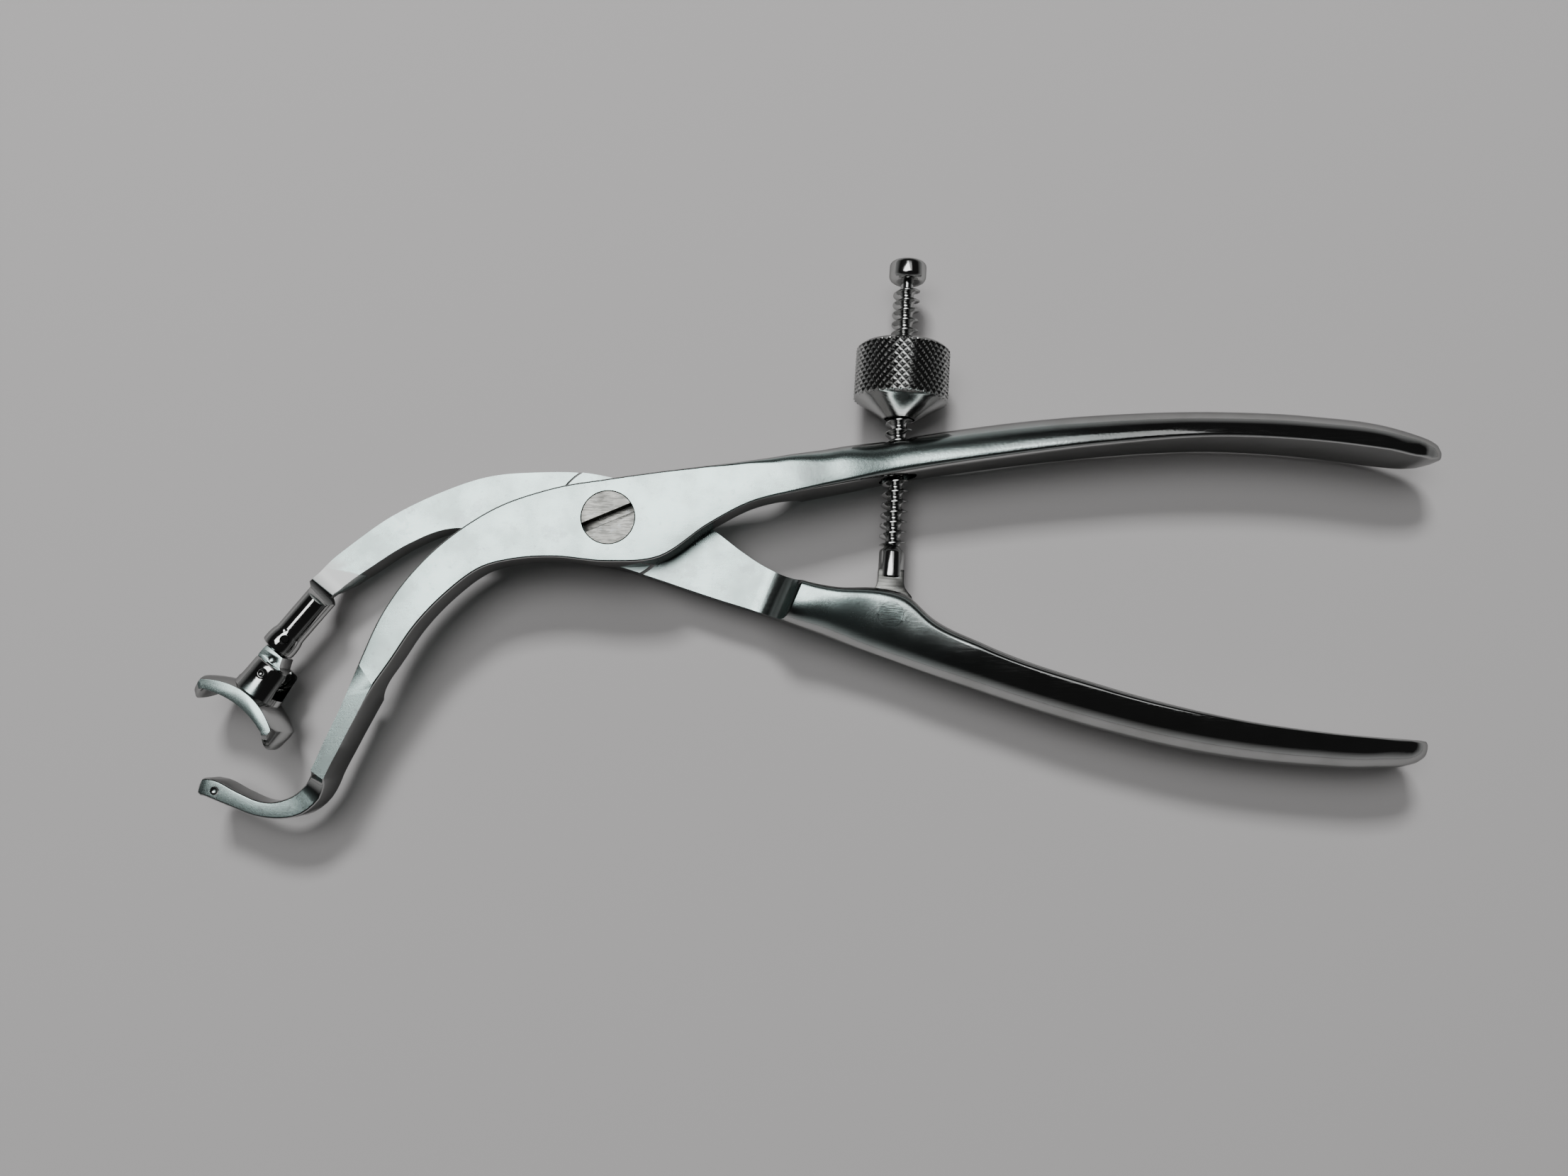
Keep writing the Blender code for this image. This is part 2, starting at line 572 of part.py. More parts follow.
def make_swivel(material, axis):
    """Post that turns in the stem, with the tongue that the foot tilts on, and the pins that hold it in."""
    post = turned("swivel_post", (
        (0.0, POST_TOP),
        (POST_R, POST_TOP),
        (POST_R, RETAINER_GROOVE_TOP),
        (POST_NECK_R, RETAINER_GROOVE_TOP),
        (POST_NECK_R, RETAINER_GROOVE_TOP - RETAINER_GROOVE_LENGTH),
        (POST_R, RETAINER_GROOVE_TOP - RETAINER_GROOVE_LENGTH),
        (POST_R, -POST_DEPTH),
        (0.0, -POST_DEPTH),
    ), 24)
    finish(post, material, parent=axis)
    half = TONGUE_HALF_THICKNESS
    rings = [
        [(low, -half, height), (high, -half, height), (high, half, height), (low, half, height)]
        for height, low, high in TONGUE_SIDES
    ]
    boolean(post, cutter(lofted("tongue", rings), axis), "UNION")
    turn = (math.radians(90.0), 0.0, 0.0)
    spot = (-FOOT_PIN_ASIDE, 0.0, FOOT_PIN_ALONG)
    end = cylinder("tongue_end", TONGUE_END_R, -half, half)
    boolean(post, cutter(placed(end, spot, turn), axis), "UNION")
    hole = cylinder("tongue_hole", FOOT_PIN_R + FIT, -4.0, 4.0, 20)
    boolean(post, cutter(placed(hole, spot, turn), axis))
    for i in range(RETAINER_COUNT):
        pin = cylinder(f"swivel_retainer_{i + 1}", RETAINER_R, POST_NECK_R + FIT, STEM_RING_R - 0.3, 12)
        finish(placed(pin, (0.0, 0.0, RETAINER_HEIGHT), retainer_turn(i)), material, parent=axis)


def saddle_outline(depth):
    """The foot's outline at one depth from its middle plane, from -1 to 1: back, claw, face, claw."""
    bulge = 1.0 - depth * depth
    span = FOOT_HALF_SPAN + 0.9 * bulge
    steps = [k / 4.0 for k in range(-4, 5)]
    back = [(span * u, 3.5 + 2.2 * u * u - 0.7 * bulge * (1.0 - 0.5 * u * u)) for u in steps]
    face = [((span - 1.1) * u, 5.6 + 1.1 * u * u) for u in reversed(steps)]
    claw = 7.0 + 2.1 * bulge
    return back + [(span - 0.7, claw)] + face + [(-span + 0.7, claw)]


def make_foot(material, axis):
    """Clawed saddle with the fork that holds the tongue, and the pin through both."""
    depths = [k / 4.0 for k in range(-4, 5)]
    rings = [[(x, depth * FOOT_HALF_DEPTH, z) for x, z in saddle_outline(depth)] for depth in depths]
    saddle = finish(lofted("foot_saddle", rings), material, parent=axis)
    fork = cylinder("fork", FORK_START_R, FORK_START, FORK_END, TURN_STEPS, FORK_END_R)
    boolean(saddle, cutter(fork, axis), "UNION")
    gap = TONGUE_HALF_THICKNESS + FIT
    slot = box("fork_slot", (-6.0, -gap, -3.0), (6.0, gap, TONGUE_END_R + 0.35))
    boolean(saddle, cutter(slot, axis))
    across = (math.radians(90.0), 0.0, 0.0)
    hole = cylinder("foot_pin_hole", FOOT_PIN_R + FIT, -5.0, 5.0, 20)
    cutter(placed(hole, rotation=across), axis)
    boolean(saddle, hole)
    pin = cylinder("foot_pin", FOOT_PIN_R, -FOOT_PIN_HALF_LENGTH, FOOT_PIN_HALF_LENGTH, 20)
    finish(placed(pin, rotation=across), material, parent=axis)


# ---------------------------------------------------------------- assembly

satin = steel("satin_steel", 0.72, 0.35)
polished = steel("polished_steel", 0.75, 0.12)
inner = steel("inner_steel", 0.45, 0.4)

spindle_axis = axis_empty("spindle_axis", SPINDLE_PIN, SPINDLE_DIRECTION)
swivel_axis = axis_empty("swivel_axis", SWIVEL_ORIGIN, SWIVEL_DIRECTION)
along = Vector(SWIVEL_DIRECTION).normalized()
aside = Vector((-along.y, along.x))
foot_pin = Vector(SWIVEL_ORIGIN) + along * FOOT_PIN_ALONG + aside * FOOT_PIN_ASIDE
foot_axis = axis_empty("foot_axis", foot_pin, FOOT_DIRECTION)

make_hook_arm(satin)
make_foot_arm(satin, swivel_axis, spindle_axis)
make_pivot_screw(satin)
make_spindle(polished, spindle_axis)
make_end_cap(polished, spindle_axis)
make_nut(polished, inner, spindle_axis)
make_swivel(polished, swivel_axis)
make_foot(polished, foot_axis)
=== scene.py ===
"""Plate-holding forceps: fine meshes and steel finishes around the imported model.

Lengths in the shapes are millimetres, and each mesh is scaled to metres once. Places and axes come
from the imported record's joints.
"""

import json
import math

import bmesh
import bpy
from mathutils import Matrix, Vector


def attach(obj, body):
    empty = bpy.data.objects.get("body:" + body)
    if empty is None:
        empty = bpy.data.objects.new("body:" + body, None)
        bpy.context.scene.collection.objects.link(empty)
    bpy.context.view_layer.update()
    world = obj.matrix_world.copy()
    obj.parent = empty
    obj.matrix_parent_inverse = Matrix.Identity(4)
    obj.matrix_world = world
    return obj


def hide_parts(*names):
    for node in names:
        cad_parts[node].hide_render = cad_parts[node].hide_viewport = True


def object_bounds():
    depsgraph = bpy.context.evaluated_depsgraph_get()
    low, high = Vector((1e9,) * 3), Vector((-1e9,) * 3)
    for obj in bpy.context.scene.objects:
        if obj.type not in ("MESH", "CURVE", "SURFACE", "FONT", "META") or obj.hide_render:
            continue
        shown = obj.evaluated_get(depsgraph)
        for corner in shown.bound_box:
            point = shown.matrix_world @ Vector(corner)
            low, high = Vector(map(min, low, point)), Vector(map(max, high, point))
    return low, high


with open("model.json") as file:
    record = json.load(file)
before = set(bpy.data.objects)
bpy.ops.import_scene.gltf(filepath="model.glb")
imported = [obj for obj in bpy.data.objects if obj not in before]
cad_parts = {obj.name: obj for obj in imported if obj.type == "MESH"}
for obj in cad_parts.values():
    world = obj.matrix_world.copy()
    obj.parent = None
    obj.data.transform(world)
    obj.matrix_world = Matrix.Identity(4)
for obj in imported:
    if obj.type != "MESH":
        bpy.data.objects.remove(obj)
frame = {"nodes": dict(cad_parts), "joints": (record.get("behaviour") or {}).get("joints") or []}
CAD_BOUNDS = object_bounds()

MM = 0.001
JOINTS = {joint["name"]: joint for joint in frame["joints"]}
MID_Z = 5.5                 # centre plane of jaws, handles and spindle
FRONT_Z = 11.0
LAP_Z = 5.4                 # where the two lapped faces meet
LAP_GAP = 0.08
SCREW_HEAD_R = 4.05
SCREW_HEAD_DEPTH = 2.4
SCREW_SHANK_R = 2.5
SCREW_SLOT_ANGLE = math.radians(23.0)
SEAM = 0.05                 # fine gap round a pin or a screw head
SCRATCH_STRETCH = 14.0      # how many times longer a scratch is than wide


# ---------------------------------------------------------------- mesh helpers

def axis_matrix(origin_m, direction):
    """A frame whose Z lies along a direction in the joint's plane, and whose Y points backwards."""
    dx, dy = Vector(direction[:2]).normalized()
    turn = Matrix(((dy, 0.0, dx), (-dx, 0.0, dy), (0.0, -1.0, 0.0))).to_4x4()
    return Matrix.Translation(Vector(origin_m)) @ turn


SPINDLE = axis_matrix(JOINTS["spindle_swing"]["pos_m"], JOINTS["nut_travel"]["axis"])
SWIVEL = axis_matrix(JOINTS["foot_swivel"]["pos_m"], JOINTS["foot_swivel"]["axis"])
FOOT = axis_matrix(JOINTS["foot_tilt"]["pos_m"], (-0.58, -0.815))
PIN_IN_SWIVEL = SWIVEL.inverted() @ Vector(JOINTS["foot_tilt"]["pos_m"]) / MM
WORLD = Matrix.Identity(4)
ACROSS = Matrix.Rotation(math.radians(90.0), 4, "X")


def object_from(bm, name, matrix=WORLD, sharp=30.0):
    """A linked object in metres from a bmesh in millimetres, in the given frame."""
    bmesh.ops.recalc_face_normals(bm, faces=bm.faces)
    bmesh.ops.scale(bm, vec=(MM, MM, MM), verts=bm.verts)
    mesh = bpy.data.meshes.new(name)
    bm.to_mesh(mesh)
    bm.free()
    mesh.shade_smooth()
    mesh.set_sharp_from_angle(angle=math.radians(sharp))
    obj = bpy.data.objects.new(name, mesh)
    bpy.context.scene.collection.objects.link(obj)
    obj.matrix_world = matrix
    return obj


def circle(radius, height, steps):
    """A ring of points round Z."""
    angles = [math.tau * i / steps for i in range(steps)]
    return [(radius * math.cos(angle), radius * math.sin(angle), height) for angle in angles]


def grid_solid(rows, closed=False):
    """A bmesh through rings of points with the same count, capped at both ends or closed on itself."""
    bm = bmesh.new()
    lines = [[bm.verts.new(point) for point in row] for row in rows]
    count = len(lines[0])
    pairs = list(zip(lines, lines[1:]))
    if closed:
        pairs.append((lines[-1], lines[0]))
    for first, second in pairs:
        for i in range(count):
            j = (i + 1) % count
            bm.faces.new((first[i], first[j], second[j], second[i]))
    if not closed:
        bm.faces.new(lines[0])
        bm.faces.new(lines[-1])
    return bm


def turned(name, profile, matrix=WORLD, steps=96, sharp=30.0):
    """A solid turned round Z from (radius, height) points; a closed profile makes a ring."""
    ring = profile[0] == profile[-1]
    points = profile[:-1] if ring else profile
    rows = [circle(radius, height, steps) for radius, height in points]
    return object_from(grid_solid(rows, closed=ring), name, matrix, sharp)


def box(name, low, high, matrix=WORLD):
    """A box between two corners."""
    bm = bmesh.new()
    size = [b - a for a, b in zip(low, high)]
    middle = [0.5 * (a + b) for a, b in zip(low, high)]
    bmesh.ops.create_cube(bm, size=1.0, matrix=Matrix.Translation(middle) @ Matrix.Diagonal((*size, 1.0)))
    return object_from(bm, name, matrix)


def ball(name, centre, radius, matrix=WORLD):
    """A sphere."""
    bm = bmesh.new()
    place = Matrix.Translation(centre)
    bmesh.ops.create_uvsphere(bm, u_segments=40, v_segments=24, radius=radius, matrix=place)
    return object_from(bm, name, matrix)


def evaluated(obj):
    """Applies all of an object's modifiers."""
    bpy.context.view_layer.update()
    graph = bpy.context.evaluated_depsgraph_get()
    mesh = bpy.data.meshes.new_from_object(obj.evaluated_get(graph))
    obj.modifiers.clear()
    obj.data = mesh
    return obj


def combine(obj, other, operation="DIFFERENCE"):
    """Cuts with, or joins, another object, which is used up."""
    modifier = obj.modifiers.new("combine", "BOOLEAN")
    modifier.operation = operation
    modifier.solver = "EXACT"
    modifier.object = other
    evaluated(obj)
    bpy.data.objects.remove(other, do_unlink=True)
    return obj


def rounded(obj, width, segments=3, angle=32.0):
    """Breaks an object's sharp edges."""
    bevel = obj.modifiers.new("edges", "BEVEL")
    bevel.width = width * MM
    bevel.segments = segments
    bevel.limit_method = "ANGLE"
    bevel.angle_limit = math.radians(angle)
    return resharpened(evaluated(obj))


def resharpened(obj, angle=32.0):
    """Smooth shading with sharp edges where faces meet at an angle."""
    obj.data.shade_smooth()
    obj.data.set_sharp_from_angle(angle=math.radians(angle))
    return obj


def finished(node, material):
    """Gives a CAD node that stays visible its material."""
    slots = frame["nodes"][node].data.materials
    slots.clear()
    slots.append(material)


def dressed(obj, material, body, slot, *nodes):
    """Gives a piece its material and its body, and hides the CAD nodes that it stands for; its slot is not
    used.
    """
    obj.data.materials.clear()
    obj.data.materials.append(material)
    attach(obj, body)
    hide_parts(*nodes)
    return obj


# ---------------------------------------------------------------- materials

class Nodes:
    """A short way to write a material's node tree."""

    def __init__(self, name):
        self.material = bpy.data.materials.new(name)
        self.material.use_nodes = True
        self.tree = self.material.node_tree
        self.shader = self.tree.nodes["Principled BSDF"]
        self.shader.inputs["Metallic"].default_value = 1.0
        self.shader.inputs["Specular Tint"].default_value = (0.5, 0.5, 0.5, 1.0)
        coordinates = self.tree.nodes.new("ShaderNodeTexCoord")
        self.place = coordinates.outputs["Object"]
        self.normal = coordinates.outputs["Normal"]

    def link(self, source, target):
        """Connects an output to a socket, or sets the socket to a value."""
        if isinstance(source, bpy.types.NodeSocket):
            self.tree.links.new(source, target)
        else:
            target.default_value = source

    def math(self, operation, a, b=0.0, clamp=False):
        """A Math node."""
        node = self.tree.nodes.new("ShaderNodeMath")
        node.operation = operation
        node.use_clamp = clamp
        self.link(a, node.inputs[0])
        self.link(b, node.inputs[1])
        return node.outputs[0]

    def ramp(self, value, low, high, first=0.0, last=1.0):
        """A smooth change from one value to another as the input goes from low to high."""
        node = self.tree.nodes.new("ShaderNodeMapRange")
        node.interpolation_type = "SMOOTHSTEP"
        for key, number in (("From Min", low), ("From Max", high), ("To Min", first), ("To Max", last)):
            node.inputs[key].default_value = number
        self.link(value, node.inputs["Value"])
        return node.outputs["Result"]

    def scaled(self, scale, turn=(0.0, 0.0, 0.0)):
        """The object's coordinates, scaled for one texture."""
        node = self.tree.nodes.new("ShaderNodeMapping")
        node.inputs["Scale"].default_value = scale
        node.inputs["Rotation"].default_value = turn
        self.link(self.place, node.inputs["Vector"])
        return node.outputs["Vector"]

    def noise(self, scale, detail=3.0, vector=None, rough=0.5):
        """A noise texture's value."""
        node = self.tree.nodes.new("ShaderNodeTexNoise")
        node.inputs["Scale"].default_value = scale
        node.inputs["Detail"].default_value = detail
        node.inputs["Roughness"].default_value = rough
        self.link(vector or self.place, node.inputs["Vector"])
        return node.outputs["Fac"]

    def mix(self, factor, first, second):
        """A colour between two colours."""
        node = self.tree.nodes.new("ShaderNodeMix")
        node.data_type = "RGBA"
        self.link(factor, node.inputs["Factor"])
        self.link(first, node.inputs["A"])
        self.link(second, node.inputs["B"])
        return node.outputs["Result"]

    def between(self, factor, first, second):
        """A number between two numbers."""
        node = self.tree.nodes.new("ShaderNodeMix")
        self.link(factor, node.inputs["Factor"])
        self.link(first, node.inputs["A"])
        self.link(second, node.inputs["B"])
        return node.outputs["Result"]

    def axis(self, vector, name):
        """One component of a vector."""
        node = self.tree.nodes.new("ShaderNodeSeparateXYZ")
        self.link(vector, node.inputs[0])
        return node.outputs[name]

    def scratches(self, turns, scale=260.0):
        """Fine straight scratches at a few angles, from 0 to 1."""
        stretched = (scale, scale * SCRATCH_STRETCH, scale)
        total = 0.0
        for turn in turns:
            lines = self.noise(1.0, 2.0, self.scaled(stretched, (0.0, 0.0, turn)))
            total = self.math("MAXIMUM", total, self.ramp(lines, 0.60, 0.66))
        return total

    def bump(self, height, distance):
        """Feeds a height to the shader as bump."""
        node = self.tree.nodes.new("ShaderNodeBump")
        node.inputs["Distance"].default_value = distance
        self.link(height, node.inputs["Height"])
        self.link(node.outputs["Normal"], self.shader.inputs["Normal"])


# Base colours, linear
SATIN = (0.50, 0.63, 0.61, 1.0)
SATIN_DULL = (0.39, 0.475, 0.46, 1.0)
# Pale colour of the rough cut beside the stem: partly its frosted finish, partly a painted highlight
FROST_WITH_PAINTED_HIGHLIGHT = (0.86, 0.88, 0.87, 1.0)
STAIN = (0.30, 0.32, 0.33, 1.0)
GRIND_DARK = (0.05, 0.05, 0.048, 1.0)
POLISH = (0.50, 0.505, 0.50, 1.0)
POLISH_DULL = (0.42, 0.425, 0.415, 1.0)


def two_finish_steel(name, axis, fade=None, dome=None, grain_end=0.0):
    """Satin faces square to one axis and polished edges and sides.

    Along X, in metres, the satin may fade out between two places (fade), reach round a domed handle
    between two others (dome), and turn into a coarser grain that ends at grain_end.

    The mesh's "satin" attribute is 0 where there is no satin, 1 where it depends on the way the
    surface faces, 2 where it doesn't, and 3 where a rough cut scatters the light and its pale colour is
    partly a painted highlight.
    """
    n = Nodes(name)
    region = n.tree.nodes.new("ShaderNodeAttribute")
    region.attribute_name = "satin"
    weight = region.outputs["Fac"]
    square = n.math("ABSOLUTE", n.axis(n.normal, axis))
    along = n.axis(n.place, "X")
    facing = n.ramp(square, 0.90, 0.985)
    if dome:
        facing = n.between(n.ramp(along, *dome), facing, n.ramp(square, 0.55, 0.95))
    forced = n.math("SUBTRACT", weight, 1.0, clamp=True)
    satin = n.math("MULTIPLY", n.math("MAXIMUM", facing, forced), n.math("MINIMUM", weight, 1.0))
    if fade:
        wander = n.math("MULTIPLY", n.math("SUBTRACT", n.noise(70.0), 0.5), 0.010)
        satin = n.math("MULTIPLY", satin, n.ramp(n.math("ADD", along, wander), *fade, 1.0, 0.0))

    cloud = n.noise(150.0, 5.0)
    grain = n.noise(5200.0, 2.0)
    spots = n.ramp(n.noise(760.0, 4.0, rough=0.7), 0.62, 0.68)
    drops = n.ramp(n.noise(115.0, 6.0, rough=0.7), 0.585, 0.62)
    wear = n.ramp(n.noise(300.0, 6.0, rough=0.7), 0.45, 0.75)
    marks = n.scratches((0.35, 1.45, 2.3))
    satin_colour = n.mix(n.ramp(cloud, 0.35, 0.72), SATIN, SATIN_DULL)
    satin_colour = n.mix(n.math("MULTIPLY", wear, 0.25), satin_colour, SATIN_DULL)
    satin_colour = n.mix(n.math("MULTIPLY", spots, 0.36), satin_colour, STAIN)
    satin_colour = n.mix(n.math("MULTIPLY", drops, 0.30), satin_colour, STAIN)
    polish_colour = n.mix(n.ramp(cloud, 0.4, 0.8), POLISH, POLISH_DULL)
    # Above 2 the colour turns pale, half metal and rougher: a rough-cut finish with a painted highlight
    frost_with_highlight = n.math("SUBTRACT", weight, 2.0, clamp=True)
    steel = n.mix(satin, polish_colour, satin_colour)
    n.link(n.mix(frost_with_highlight, steel, FROST_WITH_PAINTED_HIGHLIGHT), n.shader.inputs["Base Color"])
    n.link(n.between(frost_with_highlight, 1.0, 0.45), n.shader.inputs["Metallic"])

    satin_rough = n.math("ADD", n.ramp(cloud, 0.3, 0.8, 0.22, 0.28), n.math("MULTIPLY", grain, 0.06))
    polish_rough = n.ramp(n.noise(240.0, 3.0), 0.35, 0.8, 0.05, 0.09)
    polish_rough = n.math("ADD", polish_rough, n.math("MULTIPLY", marks, 0.05))
    rough = n.between(satin, polish_rough, satin_rough)
    n.link(n.between(frost_with_highlight, rough, 0.5), n.shader.inputs["Roughness"])
    height = n.math("MULTIPLY", n.math("MULTIPLY", grain, satin), 0.6)
    height = n.math("ADD", height, n.math("MULTIPLY", marks, -0.15))
    if grain_end:
        coming = n.ramp(along, 0.016, 0.045)
        going = n.ramp(along, 0.5 * grain_end, grain_end, 1.0, 0.0)
        coarse = n.math("MULTIPLY", n.noise(2100.0, 3.0), n.math("MULTIPLY", coming, going))
        up = n.ramp(n.axis(n.normal, axis), 0.75, 0.97)
        height = n.math("ADD", height, n.math("MULTIPLY", coarse, n.math("MULTIPLY", up, 2.6)))
    n.bump(height, 0.000006)
    return n.material


def polished_steel(name, dull=0.0, rings=0.0):
    """Mirror-polished steel with smudges and fine scratches, and turning marks round its Z."""
    n = Nodes(name)
    smudge = n.noise(210.0, 3.0)
    marks = n.scratches((0.2, 1.1, 2.6), 420.0)
    n.link(n.mix(n.ramp(smudge, 0.35, 0.75), POLISH, POLISH_DULL), n.shader.inputs["Base Color"])
    rough = n.ramp(smudge, 0.35, 0.8, 0.05 + dull, 0.09 + dull)
    height = n.math("MULTIPLY", marks, -0.15)
    if rings:
        turning = n.noise(1.0, 1.0, n.scaled((0.01, 0.01, 7000.0)))
        rough = n.math("ADD", rough, n.math("MULTIPLY", turning, 0.10 * rings))
        height = n.math("ADD", height, n.math("MULTIPLY", turning, 0.4 * rings))
    n.link(n.math("ADD", rough, n.math("MULTIPLY", marks, 0.05)), n.shader.inputs["Roughness"])
    n.bump(height, 0.000004)
    return n.material


def ground_steel(name, colour, roughness, scale=(700.0, 5000.0, 700.0)):
    """Ground steel: parallel grinding lines, some of them dark, across the largest scale, and stains."""
    n = Nodes(name)
    cloud = n.noise(330.0, 5.0)
    lines = n.noise(1.0, 2.0, n.scaled(scale))
    spots = n.ramp(n.noise(900.0, 5.0, rough=0.66), 0.56, 0.68)
    dull = (*(0.72 * c for c in colour[:3]), 1.0)
    base = n.mix(n.ramp(cloud, 0.35, 0.75), colour, dull)
    base = n.mix(n.ramp(lines, 0.45, 0.60, 0.0, 0.5), base, GRIND_DARK)
    n.link(n.mix(n.math("MULTIPLY", spots, 0.45), base, STAIN), n.shader.inputs["Base Color"])
    rough = n.ramp(cloud, 0.3, 0.8, roughness - 0.05, roughness + 0.06)
    n.link(n.math("ADD", rough, n.math("MULTIPLY", lines, 0.08)), n.shader.inputs["Roughness"])
    n.bump(lines, 0.000012)
    return n.material


# ---------------------------------------------------------------- arms

def smooth_track(stations, spacing):
    """Stations of (left, right, low, high, left rounding, right rounding), refined along the arm.

    The edges follow a cubic through their points; levels and roundings ease from one to the next.
    """
    edges = [Vector((*row[0], *row[1])) for row in stations]
    rest = [(row[2], row[3], *row[4], *row[5]) for row in stations]
    middles = [Vector((0.5 * (e[0] + e[2]), 0.5 * (e[1] + e[3]))) for e in edges]
    spans = [(b - a).length for a, b in zip(middles, middles[1:])]
    slopes = [(edges[1] - edges[0]) / spans[0]]
    for i in range(1, len(spans)):
        before = (edges[i] - edges[i - 1]) / spans[i - 1]
        after = (edges[i + 1] - edges[i]) / spans[i]
        total = spans[i - 1] + spans[i]
        slopes.append(before * (spans[i] / total) + after * (spans[i - 1] / total))
    slopes.append((edges[-1] - edges[-2]) / spans[-1])
    track = []
    for i, span in enumerate(spans):
        steps = max(2, round(span / spacing))
        for k in range(steps):
            t = k / steps
            ease = t * t * (3.0 - 2.0 * t)
            edge = (
                edges[i] * (2 * t ** 3 - 3 * t ** 2 + 1) + slopes[i] * span * (t ** 3 - 2 * t ** 2 + t)
                + edges[i + 1] * (3 * t ** 2 - 2 * t ** 3) + slopes[i + 1] * span * (t ** 3 - t ** 2)
            )
            track.append((edge, [a + (b - a) * ease for a, b in zip(rest[i], rest[i + 1])]))
    track.append((edges[-1], list(rest[-1])))
    return track


def section(edge, numbers, steps=7):
    """The ring of points round one section: a box with an elliptical round on each corner."""
    left, right = Vector(edge[:2]), Vector(edge[2:])
    low, high, left_across, left_up, right_across, right_up = numbers
    width = (right - left).length
    across = (right - left) / width
    corners = (
        (left_across, high - left_up, left_across, left_up, 180.0),
        (width - right_across, high - right_up, right_across, right_up, 90.0),
        (width - right_across, low + right_up, right_across, right_up, 0.0),
        (left_across, low + left_up, left_across, left_up, -90.0),
    )
    ring = []
    for n_centre, z_centre, n_round, z_round, start in corners:
        for k in range(steps + 1):
            angle = math.radians(start - 90.0 * k / steps)
            spot = left + across * (n_centre + n_round * math.cos(angle))
            ring.append((spot.x, spot.y, z_centre + z_round * math.sin(angle)))
    return ring


def arm(name, stations):
    """An arm lofted through its stations."""
    return object_from(grid_solid([section(*row) for row in smooth_track(stations, 0.9)]), name)


def mill(name, path, half_width, level, side, start_radius, end_radius):
    """The space a milling cutter leaves: flat at one level, with a round run-out at both ends.

    Side is +1 for a cut from the front and -1 for one from the rear.
    """
    points = [Vector(point) for point in path]
    far = level + side * 12.0
    rows = []
    for i, point in enumerate(points):
        if i == 0:
            along = (points[1] - point).normalized()
        elif i == len(points) - 1:
            along = (point - points[-2]).normalized()
        else:
            along = (points[i + 1] - points[i - 1]).normalized()
        aside = Vector((-along.y, along.x)) * half_width
        offsets = [(0.0, 0.0)]
        if i == 0:
            offsets = run_out(start_radius, -1.0)
        elif i == len(points) - 1:
            offsets = reversed(run_out(end_radius, 1.0))
        for back, lift in offsets:
            spot = point + along * back
            z = level + side * lift
            rows.append([
                (*(spot - aside), z), (*(spot + aside), z), (*(spot + aside), far), (*(spot - aside), far),
            ])
    return object_from(grid_solid(rows), name)


def run_out(radius, sign, steps=14, depth=6.5):
    """Where a round run-out lies beyond its flat: (distance, lift), from the far end to the flat."""
    reach = math.acos(max(-1.0, 1.0 - depth / radius)) if depth < radius else math.pi / 2
    rows = []
    for k in range(steps, -1, -1):
        angle = reach * k / steps
        rows.append((sign * radius * math.sin(angle), radius * (1.0 - math.cos(angle))))
    return rows


